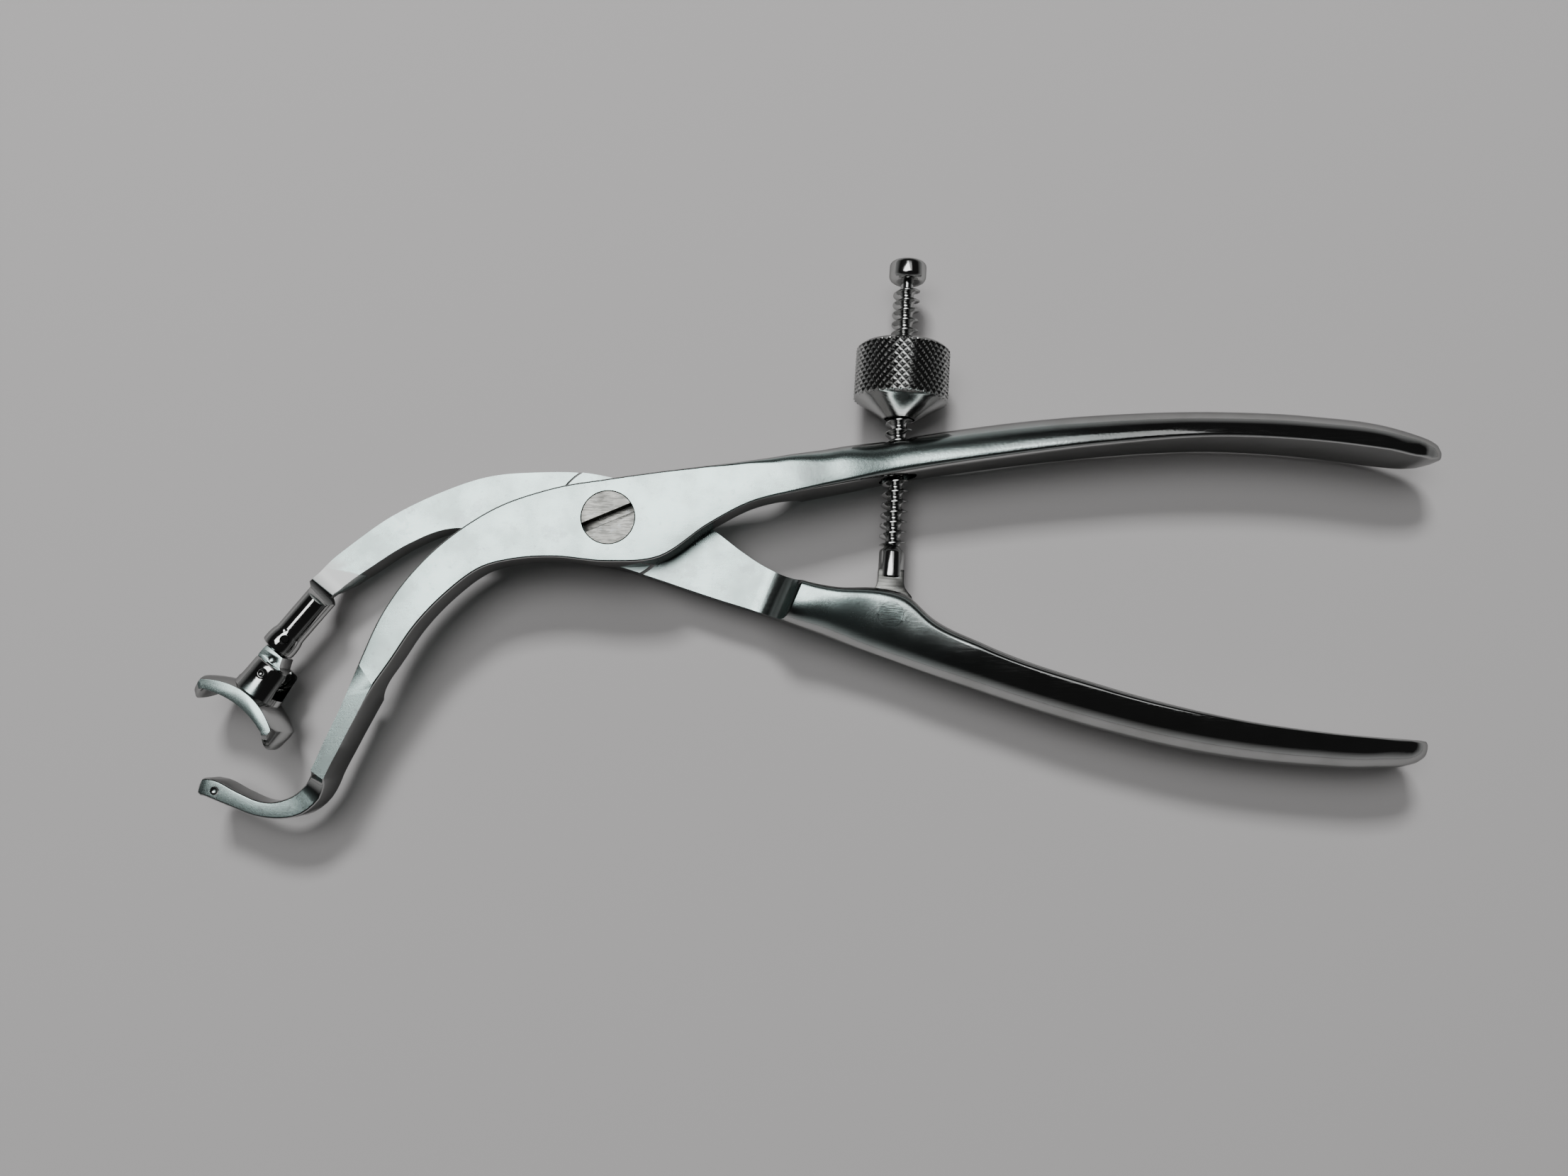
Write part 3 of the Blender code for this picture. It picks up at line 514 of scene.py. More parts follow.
EDGE = (0.32, 0.32)
HOOK_ARM = (
    ((-59.95, -38.95), (-60.3, -40.0), 3.6, 7.4, (0.4, 1.2), (0.4, 1.2)),
    ((-59.5, -38.5), (-60.1, -40.7), 3.1, 7.9, (0.4, 0.4), (0.4, 0.4)),
    ((-58.6, -38.5), (-59.3, -41.0), 3.0, 8.0, EDGE, EDGE),
    ((-54.2, -40.4), (-55.0, -42.7), 3.0, 8.0, EDGE, EDGE),
    ((-51.1, -41.7), (-51.5, -44.0), 3.0, 8.0, EDGE, EDGE),
    ((-48.6, -41.9), (-47.7, -44.4), 3.0, 8.0, EDGE, EDGE),
    ((-46.2, -41.1), (-44.6, -43.7), 2.8, 8.0, EDGE, EDGE),
    ((-44.3, -39.5), (-42.1, -41.5), 2.6, 8.1, EDGE, EDGE),
    ((-43.0, -37.9), (-41.0, -39.4), 2.5, 9.4, EDGE, EDGE),
    ((-42.5, -37.0), (-40.6, -38.3), 2.5, FRONT_Z, EDGE, EDGE),
    ((-40.9, -33.3), (-38.8, -34.5), 2.5, FRONT_Z, EDGE, EDGE),
    ((-38.7, -28.4), (-36.4, -29.7), 2.5, FRONT_Z, EDGE, EDGE),
    ((-37.0, -23.9), (-34.0, -25.2), 2.5, FRONT_Z, EDGE, EDGE),
    ((-35.7, -20.4), (-31.6, -21.6), 2.5, FRONT_Z, EDGE, EDGE),
    ((-33.0, -14.2), (-28.1, -16.2), 2.3, FRONT_Z, EDGE, EDGE),
    ((-28.9, -8.2), (-23.8, -11.5), 2.0, FRONT_Z, EDGE, EDGE),
    ((-23.0, -2.5), (-18.6, -7.6), 1.6, FRONT_Z, EDGE, EDGE),
    ((-16.8, 1.5), (-14.1, -6.4), 1.6, FRONT_Z, EDGE, EDGE),
    ((-8.6, 4.4), (-8.0, -6.0), 1.6, FRONT_Z, EDGE, EDGE),
    ((0.0, 5.9), (0.2, -6.7), 1.6, FRONT_Z, EDGE, EDGE),
    ((7.0, 6.9), (7.7, -6.0), 1.6, FRONT_Z, EDGE, EDGE),
    ((14.0, 7.8), (15.0, -1.1), 1.6, FRONT_Z, (0.4, 0.4), EDGE),
    ((19.5, 8.5), (21.0, 2.1), 1.6, FRONT_Z, (0.6, 0.6), EDGE),
    ((26.0, 9.6), (27.6, 3.8), 1.4, FRONT_Z, (1.4, 1.2), (0.4, 0.4)),
    ((34.0, 11.2), (35.2, 5.3), 1.2, 10.6, (2.8, 2.6), (0.7, 0.9)),
    ((42.5, 12.8), (43.8, 7.0), 1.1, 9.9, (4.2, 4.0), (1.0, 1.6)),
    ((56.0, 15.0), (56.8, 9.0), 0.9, 10.1, (4.6, 4.6), (0.8, 1.6)),
    ((74.0, 16.8), (74.2, 11.2), 0.5, 10.5, (4.4, 5.0), (0.6, 1.1)),
    ((92.0, 17.3), (92.0, 12.4), 0.1, 10.9, (4.0, 5.3), (0.5, 0.6)),
    ((107.0, 16.6), (106.5, 11.7), 0.1, 10.9, (4.0, 5.3), (0.5, 0.5)),
    ((118.0, 15.1), (116.8, 10.4), 0.1, 10.9, (3.8, 5.2), (0.5, 0.5)),
    ((123.7, 13.4), (122.4, 9.5), 1.0, 10.0, (3.0, 4.2), (0.5, 0.5)),
    ((126.1, 12.4), (125.2, 9.3), 2.2, 8.8, (2.4, 3.2), (0.5, 0.6)),
    ((126.9, 11.6), (126.5, 9.5), 3.5, 7.5, (1.5, 1.9), (0.4, 0.7)),
)

STEM_R = 2.25
STEM_ROUND = (STEM_R, STEM_R)
STEM_LEVELS = (MID_Z - STEM_R, MID_Z + STEM_R)


def stem_edges(along):
    """The stem's left and right edge at a distance along the swivel axis from the stem's end."""
    left = SWIVEL @ (Vector((STEM_R, 0.0, along)) * MM) / MM
    right = SWIVEL @ (Vector((-STEM_R, 0.0, along)) * MM) / MM
    return (left.x, left.y), (right.x, right.y)


FOOT_ARM = (
    *((*stem_edges(t), *STEM_LEVELS, STEM_ROUND, STEM_ROUND) for t in (-2.0, -5.0, -8.0, -9.3, -9.8)),
    ((-45.9, -9.0), (-42.7, -11.4), 2.9, 8.2, (1.7, 2.2), (1.7, 2.2)),
    ((-44.9, -7.6), (-41.7, -10.2), 1.6, 8.6, (1.0, 1.2), (1.0, 1.2)),
    ((-43.4, -5.9), (-40.2, -8.9), 0.4, 8.8, (0.5, 0.6), (0.4, 0.4)),
    ((-40.2, -3.2), (-37.0, -6.6), 0.0, 8.8, (0.5, 0.4), EDGE),
    ((-34.2, 1.2), (-31.4, -3.0), 0.0, 8.8, (0.5, 0.4), EDGE),
    ((-27.1, 4.8), (-25.4, -0.7), 0.0, 8.8, (0.5, 0.4), EDGE),
    ((-20.0, 7.3), (-18.6, -1.0), 0.0, 8.8, (0.5, 0.4), EDGE),
    ((-12.0, 8.1), (-10.4, -3.6), 0.0, 8.8, (0.4, 0.4), EDGE),
    ((-4.0, 7.9), (-4.0, -5.6), 0.0, 8.8, EDGE, EDGE),
    ((3.6, 6.0), (1.6, -6.8), 0.0, 8.8, EDGE, EDGE),
    ((9.6, 2.9), (6.6, -8.4), 0.0, 8.8, EDGE, EDGE),
    ((15.2, -0.8), (11.6, -10.1), 0.0, 8.8, EDGE, EDGE),
    ((19.6, -4.2), (16.4, -11.7), 0.0, 9.0, EDGE, EDGE),
    ((23.4, -6.7), (21.8, -13.4), 0.1, 9.4, (0.5, 0.5), (0.8, 0.8)),
    ((28.2, -8.9), (26.4, -15.2), 0.4, 9.9, (0.9, 0.9), (3.2, 2.8)),
    ((34.2, -10.2), (32.4, -17.4), 0.8, 10.2, (1.1, 1.3), (5.6, 4.4)),
    ((40.4, -10.3), (38.8, -19.8), 1.1, 9.9, (1.4, 1.7), (7.4, 4.4)),
    ((44.3, -11.2), (41.9, -20.9), 1.1, 9.9, (1.6, 2.0), (7.6, 4.4)),
    ((48.4, -14.8), (45.7, -22.3), 1.1, 9.9, (1.4, 2.0), (6.2, 4.4)),
    ((56.0, -18.7), (53.4, -25.0), 0.9, 10.1, (1.1, 1.8), (5.4, 4.6)),
    ((74.0, -25.1), (72.3, -31.1), 0.5, 10.5, (0.8, 1.4), (4.8, 5.0)),
    ((92.3, -29.8), (91.2, -35.4), 0.1, 10.9, (0.5, 0.7), (4.6, 5.4)),
    ((104.0, -31.6), (103.6, -36.8), 0.1, 10.9, (0.5, 0.5), (4.3, 5.3)),
    ((113.0, -32.5), (112.9, -37.2), 0.1, 10.9, (0.5, 0.5), (4.0, 5.2)),
    ((118.8, -32.9), (118.9, -36.7), 1.0, 10.0, (0.5, 0.5), (3.0, 4.2)),
    ((120.9, -33.1), (120.9, -36.0), 2.3, 8.7, (0.5, 0.6), (2.2, 3.1)),
    ((121.7, -33.3), (121.6, -35.2), 3.6, 7.4, (0.4, 0.7), (1.3, 1.8)),
)


def mark_satin(obj, weight):
    """Stores how much of a satin finish each point may have, for two_finish_steel."""
    layer = obj.data.attributes.new("satin", "FLOAT", "POINT")
    for vertex in obj.data.vertices:
        layer.data[vertex.index].value = weight(vertex.co / MM)


def upright(name, radius, low, high, place=(0.0, 0.0), steps=72):
    """A cylinder along the joint's Z."""
    matrix = Matrix.Translation((*(Vector(place) * MM), 0.0))
    return turned(name, ((radius, low), (radius, high)), matrix, steps)


def make_hook_arm():
    """The front arm: lap recess behind, screw seat, spindle slot and test marks on its faces."""
    obj = arm("hook_arm_steel", HOOK_ARM)
    lap = [(-35.6, -21.3), (-31.0, -13.5), (-22.0, -5.5), (-8.0, -0.8), (8.0, 0.5), (18.5, 4.2), (23.0, 6.0)]
    combine(obj, mill("rear_lap", lap, 9.5, LAP_Z + LAP_GAP / 2, -1.0, 5.0, 5.0))
    combine(obj, upright("head_seat", SCREW_HEAD_R + SEAM, FRONT_Z - SCREW_HEAD_DEPTH - SEAM, 14.0))
    combine(obj, upright("shank_hole", SCREW_SHANK_R + SEAM, 2.0, 12.0))
    combine(obj, rounded(slot_space("spindle_slot"), 2.15, 8))
    combine(obj, ball("hook_mark", (-57.6, -40.3, 8.75), 1.0))
    facet = Matrix.Translation(Vector((-35.2, -23.2, FRONT_Z)) * MM)
    facet = facet @ Matrix.Rotation(math.radians(-146.0), 4, "Z") @ Matrix.Rotation(math.radians(1.9), 4, "Y")
    combine(obj, box("jaw_facet", (0.0, -12.0, -0.02), (22.0, 12.0, 6.0), facet))
    mark_satin(resharpened(obj), lambda p: 1.0)
    return obj


def slot_space(name):
    """The slot in the front handle that the spindle goes through, before its ends are rounded."""
    bm = bmesh.new()
    size = Matrix.Diagonal((5.8, 18.0, 4.9, 1.0))
    bmesh.ops.create_cube(bm, size=1.0, matrix=Matrix.Translation((43.75, 10.0, MID_Z)) @ size)
    through = [e for e in bm.edges if abs(e.verts[0].co.y - e.verts[1].co.y) > 1.0]
    bmesh.ops.bevel(bm, geom=through, offset=2.2, segments=8, affect="EDGES", profile=0.5)
    return object_from(bm, name)


def make_foot_arm():
    """The rear arm: lap recess with its run-outs, pivot boss, stem ring, eye pocket and mouth."""
    obj = arm("foot_arm_steel", FOOT_ARM)
    lap = [(-43.6, -7.3), (-38.0, -1.6), (-28.0, 3.6), (-14.0, 5.0), (0.0, 1.0), (11.0, -4.8), (19.0, -8.5),
           (22.4, -9.95)]
    top = LAP_Z - LAP_GAP / 2
    recess = mill("front_lap", lap, 11.0, top - 0.4, 1.0, 4.2, 6.0)
    place = Matrix.Translation(Vector((-0.2, 0.28, 0.0)) * MM)
    boss = turned("pivot_boss", ((9.45, 1.0), (9.45, top - 0.42), (9.03, top - 0.02), (9.0, top)), place, 160)
    combine(recess, boss)
    combine(obj, recess)
    combine(obj, upright("shank_hole", SCREW_SHANK_R + SEAM, -2.0, 9.0))

    ring = ((2.1, -2.9), (2.25, -2.3), (2.44, -1.7), (2.56, -0.7), (2.56, 0.15), (2.5, 0.36), (2.3, 0.5))
    combine(obj, turned("stem_ring", ring, SWIVEL), "UNION")
    combine(obj, turned("socket", ((1.65, -3.7), (1.65, 2.0)), SWIVEL))
    for angle in (-109.0, 11.0, 131.0):
        turn = Matrix.Rotation(math.radians(angle), 4, "Z") @ Matrix.Rotation(math.radians(90.0), 4, "Y")
        place = SWIVEL @ Matrix.Translation((0.0, 0.0, -1.65 * MM)) @ turn
        combine(obj, turned("pin_hole", ((0.62, 0.8), (0.62, 2.25), (0.86, 2.6), (0.86, 3.4)), place, 40))
    combine(obj, ball("stem_mark", (0.15, -3.35, -2.7), 1.15, SWIVEL))

    half = 1.62
    across = SPINDLE @ ACROSS
    combine(obj, turned("eye_pocket", ((4.6, -half), (4.6, half)), across))
    combine(obj, box("eye_mouth", (-4.6, -half, 0.0), (4.6, half, 10.0), SPINDLE))
    combine(obj, turned("pin_hole", ((1.93, -8.0), (1.93, 8.0)), across))
    stem_start = (SWIVEL @ Vector((0.0, 0.0, -10.2 * MM))) / MM
    scoop = Vector((0.92, -0.39, 0.0))

    def weight(p):
        """No satin on the stem, a rough cut beside it whose pale colour is partly a painted highlight, and
        more satin in the recess's other run-out.
        """
        stem = (p - stem_start).dot(SWIVEL.col[2].xyz)
        if stem > -0.6:
            return 0.0
        in_scoop = 23.0 < p.dot(scoop) < 29.6 and LAP_Z - 0.6 < p.z < 9.6
        # Rough cut beside the stem: its pale colour is partly a painted highlight
        near_stem = stem > -5.5 and LAP_Z - 0.6 < p.z < 7.9
        return 3.0 if near_stem else 1.5 if in_scoop else 1.0

    mark_satin(resharpened(obj), weight)
    return obj


# ---------------------------------------------------------------- pivot and spindle

def make_pivot_screw():
    """Slotted screw, flush on both faces of the joint."""
    top = FRONT_Z - 0.02
    screw = turned("pivot_screw_steel", (
        (SCREW_HEAD_R - 0.12, top),
        (SCREW_HEAD_R, top - 0.12),
        (SCREW_HEAD_R, FRONT_Z - SCREW_HEAD_DEPTH),
        (SCREW_SHANK_R, FRONT_Z - SCREW_HEAD_DEPTH),
        (SCREW_SHANK_R, 0.15),
        (SCREW_SHANK_R - 0.15, 0.0),
    ), steps=128)
    turn = Matrix.Rotation(SCREW_SLOT_ANGLE, 4, "Z")
    slot = box("screw_slot", (-6.0, -0.7, FRONT_Z - 1.9), (6.0, 0.7, FRONT_Z + 1.0), turn)
    combine(screw, slot)
    return rounded(screw, 0.05, 2, 50.0)


THREAD = (                  # share of one turn, and height from root to crest, also from 0 to 1
    (0.0, 0.0), (0.14, 0.02), (0.24, 0.10), (0.32, 0.26), (0.39, 0.55), (0.435, 0.93), (0.465, 1.0),
    (0.535, 1.0), (0.565, 0.93), (0.61, 0.55), (0.68, 0.26), (0.76, 0.10), (0.86, 0.02),
)
THREAD_PITCH = 1.6
THREAD_START = 9.2
THREAD_TURNS = 28
THREAD_ENDS = (1.7, 42.6)   # where the thread is cut off, from its start
ROOT_R = 1.12
TANG_END = 7.3
CREST_R = 2.1


def helix_bmesh(steps=48):
    """The thread as a grid whose rows climb one pitch a turn, so that its crest is one clean edge."""
    bm = bmesh.new()
    samples = [(turn + share, height) for turn in range(THREAD_TURNS) for share, height in THREAD]
    rows = []
    for climb, height in samples:
        radius = ROOT_R + (CREST_R - ROOT_R) * height
        row = []
        for i in range(steps):
            angle = math.tau * i / steps
            t = THREAD_START + THREAD_PITCH * (climb + i / steps)
            row.append(bm.verts.new((radius * math.cos(angle), radius * math.sin(angle), t)))
        rows.append(row)
    ahead = len(THREAD)
    for j in range(len(rows) - 1):
        for i in range(steps - 1):
            bm.faces.new((rows[j][i], rows[j][i + 1], rows[j + 1][i + 1], rows[j + 1][i]))
        if j + 1 + ahead < len(rows):
            bm.faces.new((rows[j][-1], rows[j + ahead][0], rows[j + ahead + 1][0], rows[j + 1][-1]))
    for end, outwards in zip(THREAD_ENDS, (-1.0, 1.0)):
        parts = bm.verts[:] + bm.edges[:] + bm.faces[:]
        place = (0.0, 0.0, THREAD_START + end)
        cut = bmesh.ops.bisect_plane(
            bm, geom=parts, plane_co=place, plane_no=(0.0, 0.0, outwards), clear_outer=True,
        )
        rim = [g for g in cut["geom_cut"] if isinstance(g, bmesh.types.BMEdge)]
        bmesh.ops.contextual_create(bm, geom=rim)
    return bm


def make_spindle():
    """Threaded rod with its collar, flat tang and eye."""
    rod = object_from(helix_bmesh(), "spindle_steel", SPINDLE, 38.0)
    core = turned("core", ((1.0, 6.0), (1.0, 53.9)), SPINDLE, 48)
    collar = ((1.7, 6.0), (1.93, 6.2), (1.93, 9.85), (1.8, 10.2), (1.45, 10.45), (ROOT_R, 10.95))
    combine(core, turned("collar", collar, SPINDLE, 64), "UNION")
    depth = 1.4
    widths = ((0.0, 3.9), (3.2, 3.3), (3.9, 2.65), (4.5, 2.2), (5.1, 1.98), (7.2, 1.95))
    rings = [[(-w, -depth, t), (w, -depth, t), (w, depth, t), (-w, depth, t)] for t, w in widths]
    tang = rounded(object_from(grid_solid(rings), "tang", SPINDLE), 0.12, 2)
    combine(core, tang, "UNION")
    combine(core, turned("eye", ((4.2, -depth), (4.2, depth)), SPINDLE @ ACROSS, 72), "UNION")
    combine(core, turned("eye_hole", ((2.0, -3.0), (2.0, 3.0)), SPINDLE @ ACROSS, 48))
    combine(rod, core, "UNION")
    return resharpened(rod, 38.0)


def make_spindle_pin():
    """Cross pin, ground off with the handle, so that its ends follow the handle's faces."""
    across = SPINDLE @ ACROSS
    pin = turned("spindle_pin_steel", ((1.9, -6.0), (1.9, 6.0)), across, 72)
    return resharpened(combine(pin, arm("handle", FOOT_ARM), "INTERSECT"))


def make_end_cap():
    """Round cap on the spindle's end."""
    return turned("spindle_cap_steel", (
        (2.3, 56.1), (2.55, 56.04), (2.74, 55.9), (2.86, 55.68), (2.9, 55.4),
        (2.9, 53.9), (2.84, 53.6), (2.65, 53.3), (2.35, 53.1), (1.5, 53.05),
    ), SPINDLE, 128, 50.0)


# ---------------------------------------------------------------- nut

NUT_LOW = 33.65
NUT_TOP = 42.2
NUT_R = 7.35
KNURLS = 36                 # diamonds round the nut
KNURL_ROWS = 6              # diamonds from the cone to the rim
KNURL_STEPS = 8             # mesh spans in one diamond
KNURL_DEPTH = 0.36
KNURL_LOW = NUT_LOW + 0.1
KNURL_TOP = NUT_TOP - 0.62


def knurl_depth(angle, height):
    """How deep the two crossing families of grooves are cut at a point, from 0 to 1."""
    around = KNURLS * angle / math.tau
    up = KNURL_ROWS * (height - KNURL_LOW) / (KNURL_TOP - KNURL_LOW)
    grooves = [abs((around + sign * up) % 1.0 - 0.5) * 2.0 for sign in (1.0, -1.0)]
    return max(0.0, (max(grooves) - 0.15) / 0.85)


def make_nut():
    """Knurled sleeve: conical nose, cut diamond knurl and chamfered rim."""
    around = KNURLS * KNURL_STEPS
    levels = KNURL_ROWS * KNURL_STEPS
    rim = ((5.75, 41.2), (5.75, 42.12), (5.83, 42.2), (6.45, 42.2), (6.62, 42.16), (7.15, 41.72))
    nose = (
        (6.92, 33.62), (6.78, 33.5), (6.4, 33.3), (5.6, 32.8), (4.6, 32.15), (3.6, 31.46),
        (2.75, 30.86), (2.6, 30.75), (2.35, 30.75), (2.3, 30.8), (2.3, 33.6), (4.8, 33.7), (4.8, 41.2),
    )
    rows = [circle(radius, height, around) for radius, height in rim]
    for k in range(levels, -1, -1):
        height = KNURL_LOW + (KNURL_TOP - KNURL_LOW) * k / levels
        row = []
        for i in range(around):
            angle = math.tau * i / around
            radius = NUT_R - KNURL_DEPTH * knurl_depth(angle, height)
            row.append((radius * math.cos(angle), radius * math.sin(angle), height))
        rows.append(row)
    rows += [circle(radius, height, around) for radius, height in nose]
    bm = grid_solid(rows, closed=True)
    knurled = [
        face for face in bm.faces
        if KNURL_LOW < face.calc_center_median().z < KNURL_TOP and face.calc_center_median().xy.length > 6.0
    ]
    poked = bmesh.ops.poke(bm, faces=knurled)
    for vertex in poked["verts"]:
        angle = math.atan2(vertex.co.y, vertex.co.x)
        radius = NUT_R - KNURL_DEPTH * knurl_depth(angle, vertex.co.z)
        vertex.co.xy = (radius * math.cos(angle), radius * math.sin(angle))
    return object_from(bm, "nut_sleeve_steel", SPINDLE, 22.0)


def make_nut_cover():
    """Flat cover let into the nut's top."""
    top = 42.1
    return turned("nut_cover_steel", (
        (2.35, top), (5.6, top), (5.68, top - 0.08), (5.68, 41.05), (2.35, 41.05), (2.35, top),
    ), SPINDLE, 96)


# ---------------------------------------------------------------- swivelling foot

def make_swivel_post():
    """Post in the stem with a flat tongue whose faces carry a test mark."""
    post = turned("swivel_post_steel", (
        (1.5, 1.3), (1.5, -0.9), (0.95, -0.9), (0.95, -2.4), (1.5, -2.4), (1.4, -3.4),
    ), SWIVEL, 64)
    half = 2.0
    sides = ((0.75, -2.3, 0.85), (1.5, -2.6, 0.92), (2.4, -3.05, 0.9), (3.2, -3.6, 0.6), (4.0, -4.1, 0.2))
    rings = [[(low, -half, s), (high, -half, s), (high, half, s), (low, half, s)] for s, low, high in sides]
    tongue = object_from(grid_solid(rings), "tongue", SWIVEL)
    across = SWIVEL @ Matrix.Translation(PIN_IN_SWIVEL * MM) @ ACROSS
    combine(tongue, turned("tongue_end", ((2.1, -half), (2.1, half)), across, 64), "UNION")
    rounded(tongue, 0.22, 3)
    combine(post, tongue, "UNION")
    combine(post, ball("tongue_mark", (-1.25, -3.0, 1.85), 1.15, SWIVEL))
    mark_satin(resharpened(post), lambda p: 1.0)
    return post


def saddle_ring(depth):
    """The saddle's outline at one depth from its middle plane, from -1 to 1: back, claw, face, claw."""
    bulge = 1.0 - depth * depth
    span = 6.6 + 0.85 * bulge
    steps = [k / 16.0 for k in range(-16, 17)]
    back = [(span * u, 3.5 + 2.2 * u * u - 0.7 * bulge * (1.0 - 0.5 * u * u)) for u in steps]
    inner = span - 1.15
    face = [(inner * u, 5.6 + 1.1 * u * u) for u in reversed(steps)]
    claw = 7.0 + 2.1 * bulge
    tip = span - 0.75
    flank = [(span + 0.08 * bulge, 6.2 + 0.5 * bulge), (span - 0.1, claw - 0.5), (tip, claw)]
    lip = [(tip - 0.35, claw - 0.35)]
    mirrored_lip = [(-x, z) for x, z in lip]
    mirrored_flank = [(-x, z) for x, z in reversed(flank)]
    return back + flank + lip + face + mirrored_lip + mirrored_flank


def make_foot():
    """Clawed saddle with its fork."""
    shares = [k / 24.0 for k in range(-24, 25)]
    rings = [[(x, 4.3 * share, z) for x, z in saddle_ring(share)] for share in shares]
    saddle = object_from(grid_solid(rings), "foot_saddle_steel", FOOT)
    rounded(saddle, 0.16, 3)
    fork = ((2.6, -1.62), (3.2, -1.6), (3.4, -1.46), (3.5, -1.2), (3.58, 0.5), (3.75, 3.2), (3.85, 4.7))
    combine(saddle, turned("fork", fork, FOOT, 128), "UNION")
    slot = box("fork_slot", (-6.0, -2.12, -3.0), (6.0, 2.12, 2.45), FOOT)
    combine(saddle, slot)
    across = FOOT @ ACROSS
    combine(saddle, turned("pin_hole", ((0.85, -6.0), (0.85, 6.0)), across, 48))
    mark_satin(resharpened(saddle), lambda p: 1.0 if p.z > 2.6 else 0.0)
    return saddle


def make_foot_pin():
    """Cross pin whose ends are peened over, flush with the fork."""
    across = FOOT @ ACROSS
    pin = turned("foot_pin_steel", (
        (0.25, -3.5), (0.62, -3.5), (0.8, -3.38), (0.83, -3.2),
        (0.83, 3.2), (0.8, 3.38), (0.62, 3.5), (0.25, 3.5),
    ), across, 48)
    for side in (-1.0, 1.0):
        combine(pin, ball("peen", (0.12, 0.05, side * 4.05), 0.75, across))
    return pin


# ---------------------------------------------------------------- stage

FLOOR_HALF = 1500.0
FLOOR_COLOUR = (0.43, 0.42, 0.42, 1.0)
CAMERA_PLACE = (0.0262, -0.0318, 0.1835)    # metres
CAMERA_TILT = math.radians(7.0)             # from straight down
CAMERA_LENS = 27.03
CAMERA_SENSOR = 36.0


def make_stage():
    """Pale floor, soft light and the camera."""
    low = CAD_BOUNDS[0][2]
    bm = bmesh.new()
    bmesh.ops.create_grid(bm, x_segments=1, y_segments=1, size=FLOOR_HALF)
    floor = object_from(bm, "floor", Matrix.Translation((0.0, 0.0, low)))
    pale = bpy.data.materials.new("pale_floor")
    pale.use_nodes = True
    shader = pale.node_tree.nodes["Principled BSDF"]
    shader.inputs["Base Color"].default_value = FLOOR_COLOUR
    shader.inputs["Roughness"].default_value = 0.9
    floor.data.materials.append(pale)

    def area(name, place, target, size, energy, glossy=True):
        """A rectangular light that faces a point."""
        data = bpy.data.lights.new(name, "AREA")
        data.shape = "RECTANGLE"
        data.size, data.size_y = size
        data.energy = energy
        lamp = bpy.data.objects.new(name, data)
        bpy.context.scene.collection.objects.link(lamp)
        lamp.location = place
        lamp.rotation_euler = (Vector(target) - Vector(place)).to_track_quat("-Z", "Y").to_euler()
        lamp.visible_glossy = glossy

    area("softbox", (-0.13, 0.185, 0.85), (-0.10, 0.14, 0.0), (0.58, 0.42), 3.2)
    area("halo", (-0.04, 0.26, 0.90), (-0.03, 0.2, 0.0), (0.80, 0.40), 0.75)
    area("key", (-0.10, 0.72, 0.84), (0.03, 0.0, 0.0), (0.26, 0.18), 10.5, glossy=False)
    area("fill", (0.1, 0.1, 1.3), (0.0, 0.0, 0.0), (1.6, 1.6), 0.8, glossy=False)

    world = bpy.data.worlds.new("studio")
    world.use_nodes = True
    nodes, links = world.node_tree.nodes, world.node_tree.links
    split = nodes.new("ShaderNodeSeparateXYZ")
    links.new(nodes.new("ShaderNodeTexCoord").outputs["Generated"], split.inputs[0])
    shade = nodes.new("ShaderNodeMapRange")
    for key, number in (("From Min", 0.0), ("From Max", 0.5), ("To Min", 0.36), ("To Max", 0.015)):
        shade.inputs[key].default_value = number
    links.new(split.outputs["Z"], shade.inputs["Value"])
    links.new(shade.outputs["Result"], nodes["Background"].inputs["Color"])
    bpy.context.scene.world = world

    data = bpy.data.cameras.new("camera")
    data.sensor_width = CAMERA_SENSOR
    data.lens = CAMERA_LENS
    data.clip_start = 0.001
    camera = bpy.data.objects.new("camera", data)
    bpy.context.scene.collection.objects.link(camera)
    camera.location = CAMERA_PLACE
    camera.rotation_euler = (CAMERA_TILT, 0.0, 0.0)
    bpy.context.scene.camera = camera


# ---------------------------------------------------------------- assembly

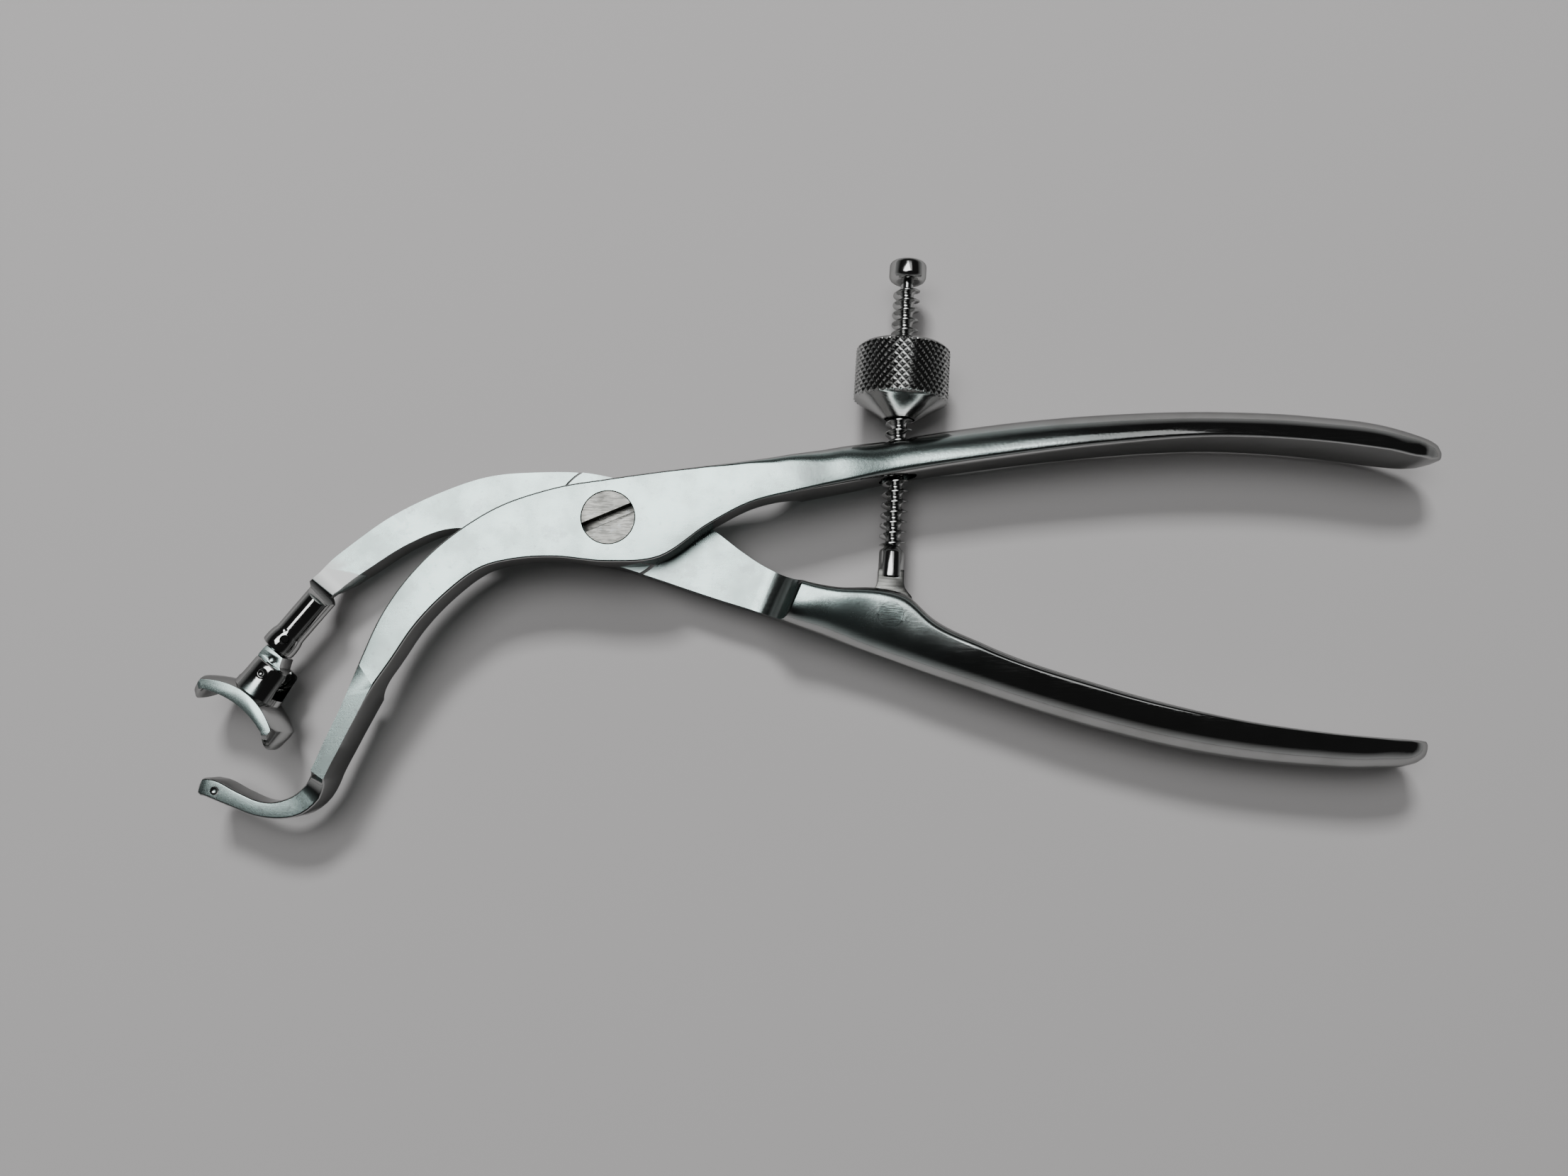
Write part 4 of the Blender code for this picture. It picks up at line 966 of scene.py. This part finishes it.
front_steel = two_finish_steel("front_arm_steel", "Z", (0.040, 0.090), (0.010, 0.026), 0.100)
rear_steel = two_finish_steel("rear_arm_steel", "Z", (0.034, 0.066), (0.026, 0.030), 0.060)
foot_steel = two_finish_steel("foot_steel", "Y")
mirror_steel = polished_steel("mirror_steel")
turned_steel = polished_steel("turned_steel", 0.02, 0.5)
knurled_steel = polished_steel("knurled_steel", 0.06)
screw_steel = ground_steel("screw_steel", (0.255, 0.257, 0.24, 1.0), 0.26)
tang_steel = ground_steel("tang_steel", (0.17, 0.172, 0.163, 1.0), 0.28, (150.0, 150.0, 2600.0))
pin_steel = ground_steel("pin_steel", SATIN_DULL, 0.24)
hidden_steel = ground_steel("machined_steel", (0.42, 0.42, 0.41, 1.0), 0.35)

dressed(make_hook_arm(), front_steel, "hook_arm", "satin_steel", "hook_arm")
dressed(make_foot_arm(), rear_steel, "foot_arm", "satin_steel", "foot_arm")
dressed(make_pivot_screw(), screw_steel, "foot_arm", "satin_steel", "pivot_screw")
dressed(make_spindle_pin(), pin_steel, "foot_arm", "polished_steel", "spindle_pin")
spindle = dressed(make_spindle(), turned_steel, "spindle", "polished_steel", "spindle")
spindle.data.materials.append(tang_steel)
for face in spindle.data.polygons:
    if face.center.z < TANG_END * MM and abs(face.normal.y) > 0.9:
        face.material_index = 1
dressed(make_end_cap(), turned_steel, "spindle", "polished_steel", "spindle_end_cap")
dressed(make_nut(), knurled_steel, "nut", "polished_steel", "nut_sleeve")
dressed(make_nut_cover(), turned_steel, "nut", "polished_steel", "nut_cover")
dressed(make_swivel_post(), foot_steel, "swivel", "polished_steel", "swivel_post")
dressed(make_foot(), foot_steel, "foot", "polished_steel", "foot_saddle")
dressed(make_foot_pin(), mirror_steel, "foot", "polished_steel", "foot_pin")
for name in ("lock_segment_a", "lock_segment_b", "lock_spring"):
    finished(name, hidden_steel)
for i in (1, 2, 3):
    finished(f"swivel_retainer_{i}", mirror_steel)

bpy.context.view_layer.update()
make_stage()
